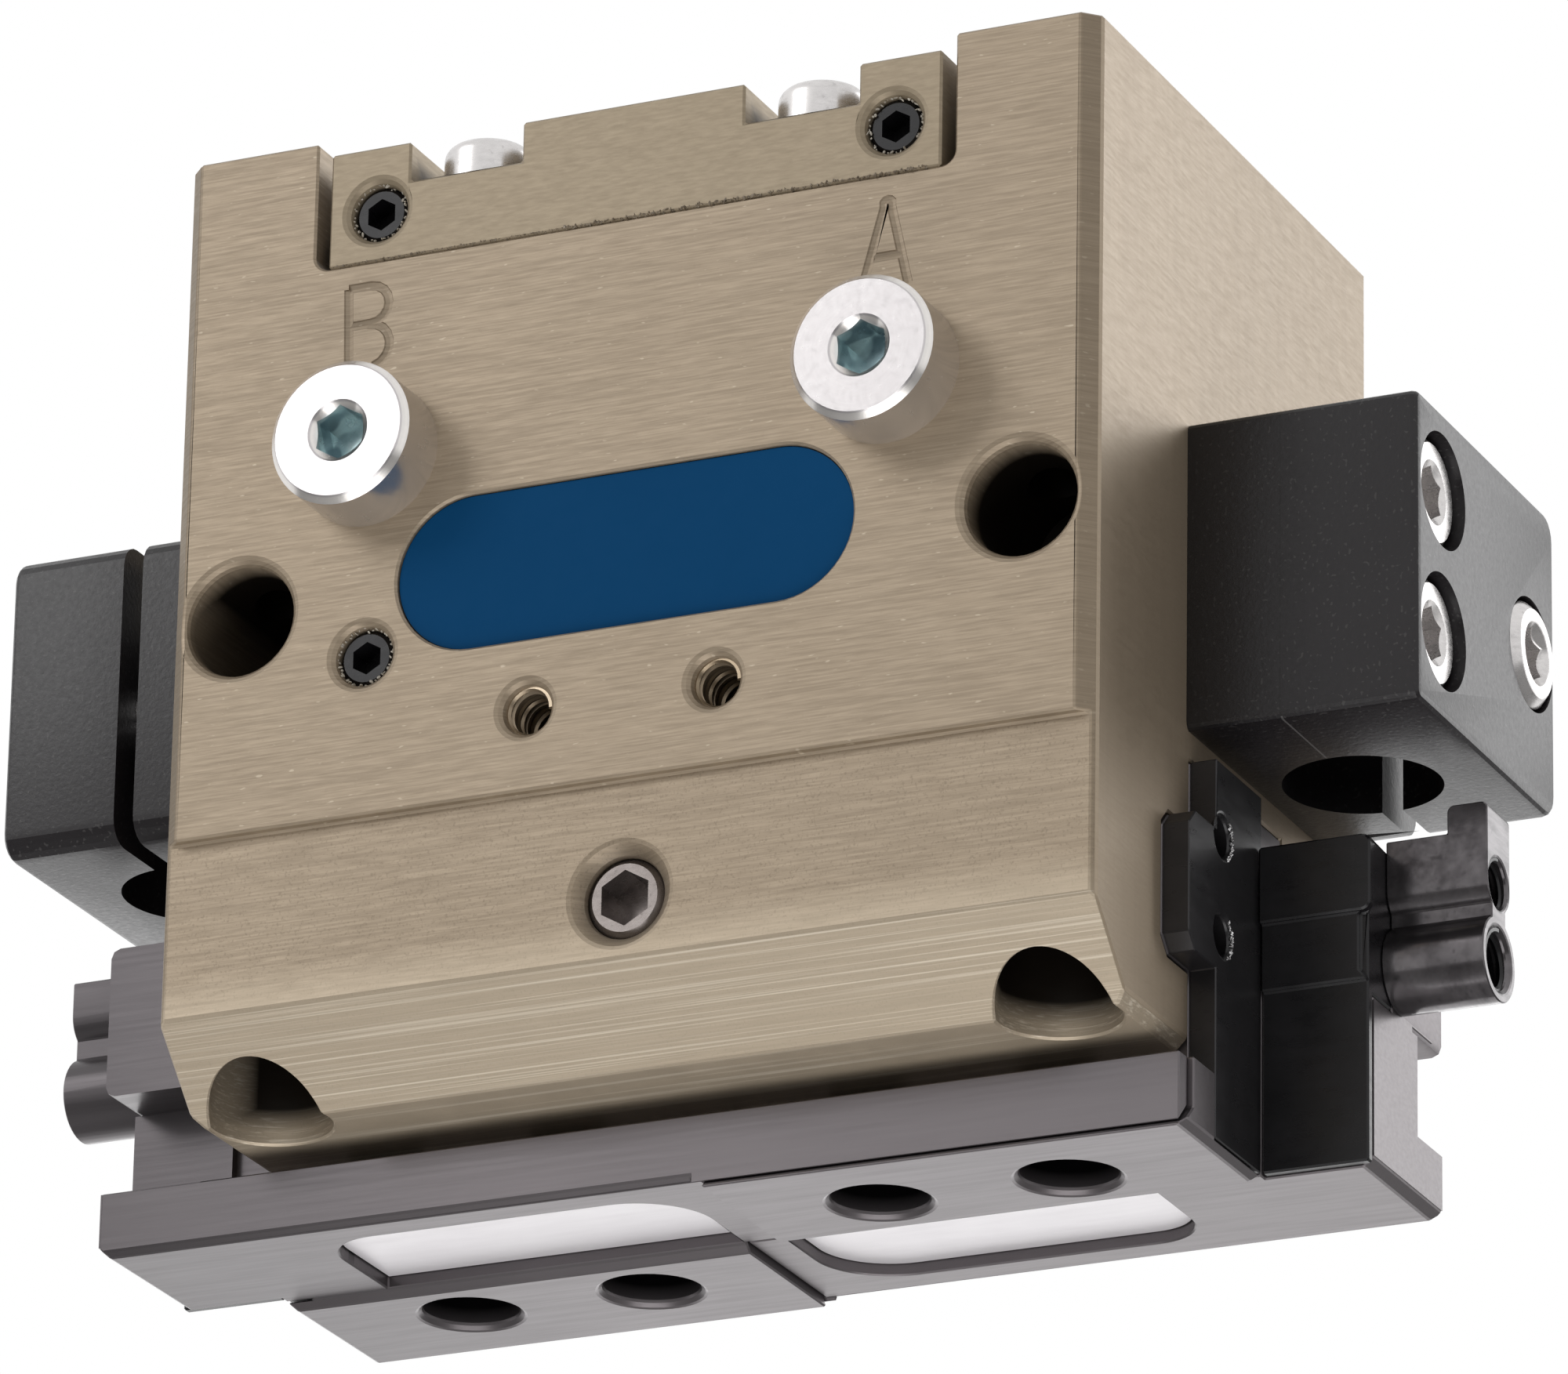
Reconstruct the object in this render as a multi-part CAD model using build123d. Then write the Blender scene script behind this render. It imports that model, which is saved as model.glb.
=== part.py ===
from build123d import *
import os
from math import radians, tan

# Pneumatic parallel gripper, in millimetres.
# The origin is the centre of the mounting face. +Z points out of that face, +X is the
# direction in which the right jaw opens, and -Y is the front with the two air ports.
# The two jaws are the same piece, turned half a turn about Z.

# Housing
BODY_W = 50.0
BODY_D = 36.0
BODY_H = 50.0
EDGE_CHAMFER = 0.85
FOOT_CHAMFER = 0.6
PANEL_Z = -36.6          # the lower front panel starts here and steps back
PANEL_STEP = 0.6
SLOPE_Z = -45.75         # the 45 degree flank starts here

# Cover and its recess
COVER_W = 33.5
COVER_T = 6.25
RECESS_W = 35.0
RECESS_DEPTH = 7.0
RECESS_FILLET = 0.8
NOTCH_W = 6.2
NOTCH_L = 5.4
NOTCH_DEPTH = 2.15
COVER_SCREW_X = 9.2
COVER_SCREW_Y = 15.4
COVER_SCREW_HEAD_D = 4.5
COVER_SCREW_HEAD_H = 2.5
COVER_SCREW_D = 2.5
COVER_SCREW_L = 9.0

# Cylinder, piston and wedge hook
BORE_L = 27.0
BORE_W = 18.0
BORE_DEPTH = 14.5
PISTON_T = 6.0
PISTON_GAP = 0.3
PISTON_REST_GAP = 0.3
PISTON_SEAL_W = 1.8
PISTON_SEAL_DEPTH = 1.1
SEAL_GAP = 0.12
ROD_D = 6.0
ROD_GAP = 0.08
ROD_SEAL_D = 9.0
ROD_SEAL_H = 2.4
JAW_STROKE = 4.0
WEDGE_ANGLE = 30.0
WEDGE_TOP_Z = -42.4
WEDGE_H = 8.0
WEDGE_TOP_HALF = 6.0
WEDGE_W = 7.6
HOOK_NECK = 1.2
HOOK_NECK_W = 3.0
HOOK_HEAD = 1.8
HOOK_HEAD_W = 5.6
SLIDE_GAP = 0.1

# Guide slot in the housing: a cross with a neck that opens at the bottom
SLOT_TOP_Z = -35.0
SLOT_SHOULDER_Z = -38.6
SLOT_LEDGE_Z = -46.0
SLOT_WIDE = 18.6
SLOT_NECK = 11.8
SLOT_CORNER = 0.8

# Jaws
JAW_END = 32.0
JAW_SPLIT = 26.4         # the full width of a jaw ends here, the rear half goes on
JAW_STEP = 0.95
JAW_PLATE_TOP_Z = -51.3
JAW_FACE_Z = -54.66
JAW_W = 19.2
JAW_END_CHAMFER = 0.5
PAD_H = 0.4
PAD_MIDDLE = 0.5
LIP_T = 1.0
LIP_TIP = 0.17
LIP_END = 26.1
FINGER_HOLE_D = 4.9
FINGER_HOLE_DEPTH = 3.2
FINGER_PITCH = 10.0
FINGER_X = 13.1
FINGER_Y = 4.16
POCKET_X0 = 1.1
POCKET_X1 = 21.9
POCKET_Y = 7.6
POCKET_DEPTH = 0.9
POCKET_R_INNER = 3.8
POCKET_R_OUTER = 2.8
SHEET_T = 0.3
SHEET_GAP = 0.08

# Parts that the sensors see, at the end of each jaw
END_PLATE_T = 1.0
END_HOLE_D = 2.05
END_HOLE_Y = 4.5
END_HOLE_Z = (-39.3, -44.4)
CAM_BLOCK_TOP_Z = -37.9
CAM_BLOCK_STEP_Z = (-41.85, -45.3)
CAM_BLOCK_T = 3.0
CAM_LEG_T = 0.5
CAM_PROUD = 0.6
CAM_END = 37.3
CAM_Y = 3.8
CAM_LOW_Z = -43.7
CAM_LOW_D = 4.3
CAM_LOW_HOLE_D = 3.0
CAM_HIGH_Z = -39.8
CAM_HIGH_D = 3.0
CAM_HIGH_HOLE_D = 2.5
CAM_TOP_Z = -37.4
CAM_TAB_X = 35.2
CAM_TAB_TOP_Z = -35.95

# Sensor brackets
BRACKET_X1 = 37.1
BRACKET_Y0 = -5.7
BRACKET_Y1 = 12.2
BRACKET_Z0 = -33.2
BRACKET_Z1 = -17.4
BRACKET_FILLET = 0.9
SENSOR_D = 8.0
SENSOR_X = 30.2
SENSOR_Y = 3.8
SLIT_W = 1.1
BRACKET_SCREW_Y = -2.9
BRACKET_SCREW_Z = (-21.6, -29.0)
BRACKET_SCREW_D = 3.0
BRACKET_HEAD_D = 5.5
BRACKET_HEAD_H = 3.0
BRACKET_HEAD_SINK = 0.5
BRACKET_SCREW_L = 14.0
CLAMP_SCREW_Y = 9.3
CLAMP_SCREW_Z = -25.3
CLAMP_SCREW_D = 2.8
CLAMP_SCREW_L = 8.0
CLAMP_SINK = 2.2

# Holes and small parts on the front
PORT_X = 14.1
PORT_Z = -17.5
PORT_D = 5.0
PORT_DEPTH = 5.5
PLUG_HEAD_D = 7.6
PLUG_HEAD_H = 3.5
PLUG_SHANK_L = 4.8
PLUG_SOCKET = 2.5
CHANNEL_X = 14.1
CHANNEL_COVER_Z = -4.25
CHANNEL_BODY_Z = -28.15
CHANNEL_D = 3.0
CHANNEL_DEPTH = 5.0
CHANNEL_SINK = 0.5
CHANNEL_PLUG_L = 3.0
CORNER_X = 21.1
CORNER_Y = 12.5
CORNER_HOLE_D = 3.4
CORNER_BORE_D = 6.2
CORNER_BORE_Z = -43.5
CROSS_Z = -25.2
CROSS_D = 5.8
CROSS_DEPTH = 9.0
LABEL_Z = -24.55
LABEL_L = 24.7
LABEL_W = 8.2
LABEL_DEPTH = 0.6
LABEL_T = 0.35
LABEL_GAP = 0.06
FACE_HOLE_X = 5.07
FACE_HOLE_Z = -32.3
FACE_HOLE_D = 2.5
FACE_HOLE_DEPTH = 6.0
STOP_SCREW_Z = -42.45
STOP_SCREW_D = 4.15
STOP_SCREW_L = 4.0
STOP_SCREW_SINK = 0.6
STOP_RIM_D = 5.5
RIM = 0.35
THREAD_GAP = 0.04

# Values worked out from the ones above
FRONT = -BODY_D / 2
PANEL_Y = FRONT + PANEL_STEP
COVER_Z0 = -RECESS_DEPTH
COVER_Z1 = COVER_Z0 + COVER_T
BORE_FLOOR = COVER_Z0 - BORE_DEPTH
PISTON_Z0 = BORE_FLOOR + PISTON_REST_GAP
PISTON_Z1 = PISTON_Z0 + PISTON_T
WEDGE_SLOPE = tan(radians(WEDGE_ANGLE))
WEDGE_BOTTOM_Z = WEDGE_TOP_Z - WEDGE_H
GUIDE_WIDE = SLOT_WIDE / 2 - SLIDE_GAP
GUIDE_NECK = SLOT_NECK / 2 - SLIDE_GAP
GUIDE_TOP_Z = SLOT_TOP_Z - SLIDE_GAP
GUIDE_SHOULDER_Z = SLOT_SHOULDER_Z - SLIDE_GAP
GUIDE_LEDGE_Z = SLOT_LEDGE_Z + SLIDE_GAP
JAW_HALF = JAW_W / 2
PAD_Z = JAW_FACE_Z - PAD_H
HALF_GAP = SLIDE_GAP / 2
BIG = 200.0


def block(x0, x1, y0, y1, z0, z1):
    """A box between two corners."""
    return Pos((x0 + x1) / 2, (y0 + y1) / 2, (z0 + z1) / 2) * Box(x1 - x0, y1 - y0, z1 - z0)


def rod(start, direction, radius, length, tip_radius=None):
    """A cylinder, or a cone where tip_radius is given, from a point along a direction."""
    place = Plane(origin=start, z_dir=direction)
    if tip_radius is None:
        solid = Cylinder(radius, length)
    else:
        solid = Cone(radius, tip_radius, length)
    return place * Pos(0, 0, length / 2) * solid


def hole(start, direction, diameter, depth, rim=0.0):
    """The tool of a drilled hole, with a countersunk rim."""
    radius = diameter / 2
    tool = rod(start, direction, radius, depth)
    if rim > 0:
        tool += rod(start, direction, radius + rim, rim, radius)
    return tool


def slab_yz(points, x0, x1):
    """A profile drawn in Y and Z, extruded from x0 to x1."""
    face = make_face(Polyline(*[(y, z) for y, z in points], close=True))
    return Plane(origin=(x0, 0, 0), x_dir=(0, 1, 0), z_dir=(1, 0, 0)) * extrude(face, x1 - x0)


def slab_xz(points, y0, y1):
    """A profile drawn in X and Z, extruded from y0 to y1."""
    face = make_face(Polyline(*[(x, -z) for x, z in points], close=True))
    return Plane(origin=(0, y0, 0), x_dir=(1, 0, 0), z_dir=(0, 1, 0)) * extrude(face, y1 - y0)


def stadium(length, width, z0, z1):
    """A slot-shaped column about the Z axis."""
    return Pos(0, 0, z0) * extrude(SlotOverall(length, width), z1 - z0)


def turned(shape):
    """The same shape on the other side, half a turn about Z."""
    return Rot(0, 0, 180) * shape


def screw(start, direction, shank_d, length, head_d, head_h, socket, bevel=0.25):
    """A socket head screw. start is the seat under the head, direction points to its tip."""
    place = Plane(origin=start, z_dir=direction)
    head = Pos(0, 0, -head_h / 2) * Cylinder(head_d / 2, head_h)
    head = chamfer(head.edges().group_by(Axis.Z)[0], bevel)
    shank = Pos(0, 0, length / 2) * Cylinder(shank_d / 2, length)
    depth = head_h * 0.6
    key = extrude(RegularPolygon(socket / 2, 6, major_radius=False), depth)
    rim = Pos(0, 0, bevel / 2) * Cone(socket * 0.66, socket * 0.5, bevel)
    return place * (head + shank - Pos(0, 0, -head_h) * (key + rim))


def grub(start, direction, diameter, length, socket):
    """A headless socket screw from its outer end."""
    body = Pos(0, 0, length / 2) * Cylinder(diameter / 2, length)
    body = chamfer(body.edges().group_by(Axis.Z)[0], diameter * 0.07)
    key = extrude(RegularPolygon(socket / 2, 6, major_radius=False), length * 0.5)
    return Plane(origin=start, z_dir=direction) * (body - key)


def cross_profile(wide, neck, top_z, shoulder_z, ledge_z, bottom_z, corner):
    """The guide section: wide in the middle, with its four wide corners cut off."""
    half = [(neck, bottom_z), (neck, ledge_z), (wide - corner, ledge_z), (wide, ledge_z + corner),
            (wide, shoulder_z - corner), (wide - corner, shoulder_z), (neck, shoulder_z),
            (neck, top_z)]
    return half + [(-y, z) for y, z in reversed(half)]


def wedge_face(z):
    """How far the slanted face of the wedge is from the middle at height z, at rest."""
    return WEDGE_TOP_HALF + (WEDGE_TOP_Z - z) * WEDGE_SLOPE


def slanted(x_from, x_to, half_width, z0, z1):
    """A slab between two lines that run parallel to the wedge's slanted face."""
    points = [(wedge_face(z0) + x_from, z0), (wedge_face(z0) + x_to, z0),
              (wedge_face(z1) + x_to, z1), (wedge_face(z1) + x_from, z1)]
    return slab_xz(points, -half_width, half_width)


def make_housing():
    body = block(-BODY_W / 2, BODY_W / 2, -BODY_D / 2, BODY_D / 2, -BODY_H, 0)
    body = chamfer(body.edges().filter_by(Axis.Z), EDGE_CHAMFER)
    run = BODY_H + SLOPE_Z
    flank = [(PANEL_Y, SLOPE_Z), (PANEL_Y + run, -BODY_H), (PANEL_Y + run, -BODY_H - 1),
             (FRONT - 1, -BODY_H - 1), (FRONT - 1, SLOPE_Z)]
    for side in (lambda shape: shape, turned):
        body -= side(block(-BODY_W, BODY_W, FRONT - 1, PANEL_Y, -BODY_H - 1, PANEL_Z))
        body -= side(slab_yz(flank, -BODY_W, BODY_W))
        body -= side(foot_chamfer())
    recess = block(-RECESS_W / 2, RECESS_W / 2, -BODY_D, BODY_D, COVER_Z0, 1)
    body -= fillet(recess.edges().filter_by(Axis.Y).group_by(Axis.Z)[0], RECESS_FILLET)
    body -= stadium(BORE_L, BORE_W, BORE_FLOOR, COVER_Z0)
    body -= cover_groove()
    body -= rod((0, 0, BORE_FLOOR), (0, 0, -1), ROD_D / 2 + ROD_GAP, BODY_H)
    body -= rod((0, 0, BORE_FLOOR), (0, 0, -1), ROD_SEAL_D / 2, ROD_SEAL_H)
    body -= slab_yz(cross_profile(SLOT_WIDE / 2, SLOT_NECK / 2, SLOT_TOP_Z, SLOT_SHOULDER_Z,
                                  SLOT_LEDGE_Z, -BODY_H - 1, SLOT_CORNER), -BODY_W, BODY_W)
    for x in (-CORNER_X, CORNER_X):
        for y in (-CORNER_Y, CORNER_Y):
            body -= hole((x, y, 0), (0, 0, -1), CORNER_HOLE_D, BODY_H, RIM)
            body -= rod((x, y, CORNER_BORE_Z), (0, 0, -1), CORNER_BORE_D / 2, BODY_H)
        body -= hole((x, FRONT, CROSS_Z), (0, 1, 0), CROSS_D, CROSS_DEPTH, RIM)
        body -= hole((x, -FRONT, CROSS_Z), (0, -1, 0), CROSS_D, CROSS_DEPTH, RIM)
    for x in (-PORT_X, PORT_X):
        body -= hole((x, FRONT, PORT_Z), (0, 1, 0), PORT_D, PORT_DEPTH)
    for x in (-FACE_HOLE_X, FACE_HOLE_X):
        body -= hole((x, FRONT, FACE_HOLE_Z), (0, 1, 0), FACE_HOLE_D, FACE_HOLE_DEPTH, RIM)
    body -= hole((-CHANNEL_X, FRONT, CHANNEL_BODY_Z), (0, 1, 0), CHANNEL_D, CHANNEL_DEPTH, RIM)
    body -= hole((0, PANEL_Y, STOP_SCREW_Z), (0, 1, 0), STOP_SCREW_D,
                 STOP_SCREW_SINK + STOP_SCREW_L, (STOP_RIM_D - STOP_SCREW_D) / 2)
    body -= label_shape(LABEL_L, LABEL_W, LABEL_DEPTH)
    for x in (-COVER_SCREW_X, COVER_SCREW_X):
        for y in (-COVER_SCREW_Y, COVER_SCREW_Y):
            body -= hole((x, y, COVER_Z0), (0, 0, -1), COVER_SCREW_D, COVER_SCREW_L)
    for side in (lambda shape: shape, turned):
        for z in BRACKET_SCREW_Z:
            depth = BRACKET_SCREW_L
            body -= side(hole((BODY_W / 2, BRACKET_SCREW_Y, z), (-1, 0, 0), BRACKET_SCREW_D,
                              depth - bracket_grip() + THREAD_GAP))
    return body


def foot_chamfer():
    """The bevel under the right side face."""
    x = BODY_W / 2
    points = [(x - FOOT_CHAMFER, -BODY_H), (x + 1, -BODY_H + FOOT_CHAMFER + 1),
              (x + 1, -BODY_H - 1), (x - FOOT_CHAMFER, -BODY_H - 1)]
    return slab_xz(points, -BODY_D, BODY_D)


def cover_groove(gap=0.0):
    """The ring groove round the bore, or with a gap the seal that lies in it."""
    inner, outer, depth = 1.7 + gap, 3.9 - gap, 0.9
    ring = stadium(BORE_L + outer, BORE_W + outer, COVER_Z0 - depth, COVER_Z0)
    return ring - stadium(BORE_L + inner, BORE_W + inner, COVER_Z0 - depth, COVER_Z0)


def label_shape(length, width, depth, sink=0.0):
    """A stadium in the front face, sunk by sink, as thick as depth."""
    face = Plane(origin=(0, FRONT + sink, LABEL_Z), x_dir=(1, 0, 0), z_dir=(0, -1, 0))
    return face * extrude(SlotOverall(length, width), -depth)


def bracket_grip():
    """The length of a bracket screw inside its bracket, from the seat to the body."""
    return BRACKET_X1 - BRACKET_HEAD_SINK - BRACKET_HEAD_H - BODY_W / 2


def make_cover():
    cover = block(-COVER_W / 2, COVER_W / 2, -BODY_D / 2, BODY_D / 2, COVER_Z0, COVER_Z1)
    seat = COVER_Z1 - COVER_SCREW_HEAD_H
    for x in (-COVER_SCREW_X, COVER_SCREW_X):
        for side in (lambda shape: shape, turned):
            notch = block(x - NOTCH_W / 2, x + NOTCH_W / 2, FRONT - 1, FRONT + NOTCH_L,
                          COVER_Z1 - NOTCH_DEPTH, COVER_Z1 + 1)
            cover -= side(fillet(notch.edges().filter_by(Axis.Z).group_by(Axis.Y)[-1], 1.0))
            cover -= side(rod((x, -COVER_SCREW_Y, seat), (0, 0, 1), COVER_SCREW_HEAD_D / 2 + 0.15,
                              BODY_H))
            cover -= side(rod((x, -COVER_SCREW_Y, COVER_Z1), (0, 0, -1),
                              COVER_SCREW_D / 2 + 0.15, BODY_H))
    for x in (-CHANNEL_X, CHANNEL_X):
        cover -= hole((x, FRONT, CHANNEL_COVER_Z), (0, 1, 0), CHANNEL_D, CHANNEL_DEPTH, RIM)
    return cover


def make_cover_screws():
    seat = COVER_Z1 - COVER_SCREW_HEAD_H
    screws = []
    for x in (-COVER_SCREW_X, COVER_SCREW_X):
        for y in (-COVER_SCREW_Y, COVER_SCREW_Y):
            length = seat - COVER_Z0 + COVER_SCREW_L - 1
            screws.append(screw((x, y, seat), (0, 0, -1), COVER_SCREW_D - 2 * THREAD_GAP, length,
                                COVER_SCREW_HEAD_D, COVER_SCREW_HEAD_H, 2.0))
    return Compound(screws)


def make_port_plug(x):
    plug = screw((x, FRONT, PORT_Z), (0, 1, 0), PORT_D - 2 * THREAD_GAP, PLUG_SHANK_L,
                 PLUG_HEAD_D, PLUG_HEAD_H, PLUG_SOCKET, 0.35)
    return plug


def make_channel_plugs():
    y = FRONT + CHANNEL_SINK
    places = [(-CHANNEL_X, CHANNEL_COVER_Z), (CHANNEL_X, CHANNEL_COVER_Z),
              (-CHANNEL_X, CHANNEL_BODY_Z)]
    return Compound([grub((x, y, z), (0, 1, 0), CHANNEL_D - 2 * THREAD_GAP, CHANNEL_PLUG_L, 1.5)
                     for x, z in places])


def make_stop_screw():
    return grub((0, PANEL_Y + STOP_SCREW_SINK, STOP_SCREW_Z), (0, 1, 0),
                STOP_SCREW_D - 2 * THREAD_GAP, STOP_SCREW_L - 0.2, 2.5)


def make_piston():
    length, width = BORE_L - 2 * PISTON_GAP, BORE_W - 2 * PISTON_GAP
    piston = stadium(length, width, PISTON_Z0, PISTON_Z1)
    piston = chamfer(piston.edges().group_by(Axis.Z)[-1], 0.4)
    middle = (PISTON_Z0 + PISTON_Z1) / 2
    z0, z1 = middle - PISTON_SEAL_W / 2, middle + PISTON_SEAL_W / 2
    groove = stadium(length + 1, width + 1, z0, z1)
    groove -= stadium(length - 2 * PISTON_SEAL_DEPTH, width - 2 * PISTON_SEAL_DEPTH, z0, z1)
    piston -= groove
    piston -= rod((0, 0, PISTON_Z1 - 3.2), (0, 0, 1), 3.0, PISTON_T)
    piston -= rod((0, 0, PISTON_Z1), (0, 0, -1), 1.5 + THREAD_GAP, PISTON_T)
    return piston


def make_piston_seal():
    middle = (PISTON_Z0 + PISTON_Z1) / 2
    half = PISTON_SEAL_W / 2 - 0.05
    outer, inner = 2 * SEAL_GAP, 2 * (PISTON_GAP + PISTON_SEAL_DEPTH) - 0.1
    ring = stadium(BORE_L - outer, BORE_W - outer, middle - half, middle + half)
    return ring - stadium(BORE_L - inner, BORE_W - inner, middle - half, middle + half)


def make_piston_screw():
    return screw((0, 0, PISTON_Z1 - 3.2), (0, 0, -1), 3.0, 10.0, 5.5, 3.0, 2.5)


def make_rod_seal():
    ring = rod((0, 0, BORE_FLOOR - HALF_GAP), (0, 0, -1), ROD_SEAL_D / 2 - THREAD_GAP,
               ROD_SEAL_H - SLIDE_GAP)
    return ring - rod((0, 0, BORE_FLOOR), (0, 0, -1), ROD_D / 2 + ROD_GAP, BODY_H)


def make_wedge_hook():
    half = WEDGE_W / 2
    right = [(0, WEDGE_TOP_Z), (WEDGE_TOP_HALF, WEDGE_TOP_Z),
             (wedge_face(WEDGE_BOTTOM_Z), WEDGE_BOTTOM_Z), (0, WEDGE_BOTTOM_Z)]
    hook = slab_xz(right, -half, half) + rod((0, 0, WEDGE_TOP_Z), (0, 0, 1), ROD_D / 2,
                                             PISTON_Z0 - WEDGE_TOP_Z)
    hook += slanted(-0.5, HOOK_NECK + 0.01, HOOK_NECK_W / 2, WEDGE_BOTTOM_Z, WEDGE_TOP_Z)
    hook += slanted(HOOK_NECK, HOOK_NECK + HOOK_HEAD, HOOK_HEAD_W / 2, WEDGE_BOTTOM_Z,
                    WEDGE_TOP_Z)
    hook += turned(hook)
    return hook - rod((0, 0, PISTON_Z0), (0, 0, -1), 1.5 + THREAD_GAP, 8.0)


def wedge_space():
    """What the wedge hook and its rod need inside the jaws, from rest to fully open."""
    z0, z1 = WEDGE_BOTTOM_Z - 0.2, SLOT_TOP_Z + 1
    gap = SLIDE_GAP
    core = [(-WEDGE_TOP_HALF, z0), (wedge_face(z0) + gap, z0), (wedge_face(z1) + gap, z1),
            (-WEDGE_TOP_HALF, z1)]
    space = slab_xz(core, -WEDGE_W / 2 - gap, WEDGE_W / 2 + gap)
    space += slanted(-0.5, HOOK_NECK + gap, HOOK_NECK_W / 2 + gap, z0, z1)
    space += slanted(HOOK_NECK - gap, HOOK_NECK + HOOK_HEAD + gap, HOOK_HEAD_W / 2 + gap, z0, z1)
    return space + rod((0, 0, WEDGE_TOP_Z), (0, 0, 1), ROD_D / 2 + 0.3, BODY_H)


def plate_profile():
    """The lower plate of the right jaw, with the pad that fingers are bolted to."""
    edge = JAW_HALF - LIP_T - SLIDE_GAP
    tip_y = JAW_HALF - HALF_GAP
    lip_z = JAW_FACE_Z - LIP_TIP - SLIDE_GAP * 1.5
    return [(-edge, JAW_PLATE_TOP_Z), (-edge, lip_z + JAW_HALF - edge),
            (-tip_y, lip_z + JAW_HALF - tip_y), (-tip_y, PAD_Z), (-PAD_MIDDLE, PAD_Z),
            (-PAD_MIDDLE + PAD_H, JAW_FACE_Z), (JAW_HALF - 0.3, JAW_FACE_Z),
            (JAW_HALF, JAW_FACE_Z + 0.3), (JAW_HALF, JAW_PLATE_TOP_Z)]


def lip_profile():
    """The thin lip of the right jaw that runs behind the left jaw's plate."""
    y0, y1 = JAW_HALF - LIP_T, JAW_HALF
    tip_z = JAW_FACE_Z - LIP_TIP
    return [(y0, JAW_PLATE_TOP_Z), (y1, JAW_PLATE_TOP_Z), (y1, tip_z), (y0, tip_z + LIP_T)]


def make_jaw():
    full_x = JAW_SPLIT - END_PLATE_T
    guide = cross_profile(GUIDE_WIDE, GUIDE_NECK, GUIDE_TOP_Z, GUIDE_SHOULDER_Z, GUIDE_LEDGE_Z,
                          JAW_PLATE_TOP_Z - 0.5, SLOT_CORNER)
    inner = -JAW_STEP + HALF_GAP
    jaw = slab_yz(guide, inner, full_x)
    jaw += slab_yz(plate_profile(), inner, JAW_SPLIT)
    rear = slab_yz(guide, full_x, JAW_END) + slab_yz(plate_profile(), full_x, JAW_END)
    rear &= block(full_x, JAW_END, 0, BODY_D, JAW_FACE_Z, GUIDE_SHOULDER_Z)
    jaw += rear
    jaw -= end_corners()
    jaw -= block(inner - 1, JAW_STEP + HALF_GAP, -BODY_D, HALF_GAP, -BIG, 0)
    lip = slab_yz(lip_profile(), -LIP_END, inner + 0.5)
    jaw += lip - slab_xz([(-LIP_END - 1, JAW_FACE_Z + 0.6), (-LIP_END + 1.6, JAW_FACE_Z - 2),
                          (-LIP_END - 1, JAW_FACE_Z - 2)], 0, BODY_D)
    jaw -= pad_end()
    jaw -= wedge_space()
    jaw -= pocket_shape(0.0, POCKET_DEPTH)
    for x in (FINGER_X - FINGER_PITCH / 2, FINGER_X + FINGER_PITCH / 2):
        jaw -= hole((x, -FINGER_Y, PAD_Z), (0, 0, 1), FINGER_HOLE_D, FINGER_HOLE_DEPTH, 0.3)
    jaw -= block(full_x, JAW_SPLIT + 1, -GUIDE_NECK - HALF_GAP, 0, JAW_FACE_Z, -BODY_H)
    jaw -= cam_block_space()
    return jaw


def end_corners():
    """The bevelled corners at the outer end of the jaw, seen from the front."""
    c = JAW_END_CHAMFER
    tools = None
    for z, up in ((GUIDE_SHOULDER_Z, 1), (JAW_FACE_Z, -1)):
        size = c * 1.8 if up == 1 else c
        points = [(JAW_END - size, z), (JAW_END, z - up * size), (JAW_END + 1, z - up * size),
                  (JAW_END + 1, z + up), (JAW_END - size, z + up)]
        tool = slab_xz(points, -BODY_D, BODY_D)
        tools = tool if tools is None else tools + tool
    return tools


def pad_end():
    """The bevel at the outer end of the pad, down to the plate."""
    points = [(JAW_SPLIT - PAD_H, PAD_Z), (JAW_SPLIT + 1, JAW_FACE_Z + 1), (JAW_SPLIT + 1, PAD_Z - 1),
              (JAW_SPLIT - PAD_H, PAD_Z - 1)]
    return slab_xz(points, -BODY_D, 0)


def pocket_shape(gap, depth):
    """The shallow pocket beside the pad, or with a gap the sheet that lies on its floor."""
    x0, x1, y1 = POCKET_X0 + gap, POCKET_X1 - gap, POCKET_Y - gap
    y0 = HALF_GAP + gap
    r_in, r_out = POCKET_R_INNER - gap, POCKET_R_OUTER - gap
    outline = FilletPolyline((x0, y0), (x0, y1), (x1, y1), (x1, y0),
                             radius=[r_in, r_out]) + Line((x1, y0), (x0, y0))
    floor = JAW_FACE_Z + POCKET_DEPTH
    return Pos(0, 0, floor) * extrude(make_face(outline), -depth)


def cam_block_space():
    """The seat of the cam block in the end of the jaw."""
    space = block(JAW_SPLIT, JAW_END + 1, -1, CAM_BLOCK_T + HALF_GAP,
                  GUIDE_LEDGE_Z - HALF_GAP, GUIDE_SHOULDER_Z + 1)
    return space + block(JAW_SPLIT, JAW_END + 1, -1, CAM_LEG_T + HALF_GAP, JAW_FACE_Z,
                         GUIDE_LEDGE_Z)


def make_end_plate():
    profile = cross_profile(GUIDE_WIDE, GUIDE_NECK, GUIDE_TOP_Z, GUIDE_SHOULDER_Z, GUIDE_LEDGE_Z,
                            JAW_FACE_Z + 0.1, SLOT_CORNER)
    plate = slab_yz(profile, JAW_SPLIT - END_PLATE_T, JAW_SPLIT)
    plate &= block(0, BODY_W, -BODY_D, -HALF_GAP, -BIG, 0)
    for z in END_HOLE_Z:
        plate -= hole((JAW_SPLIT, -END_HOLE_Y, z), (-1, 0, 0), END_HOLE_D, 3 * END_PLATE_T, 0.2)
    return plate


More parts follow.
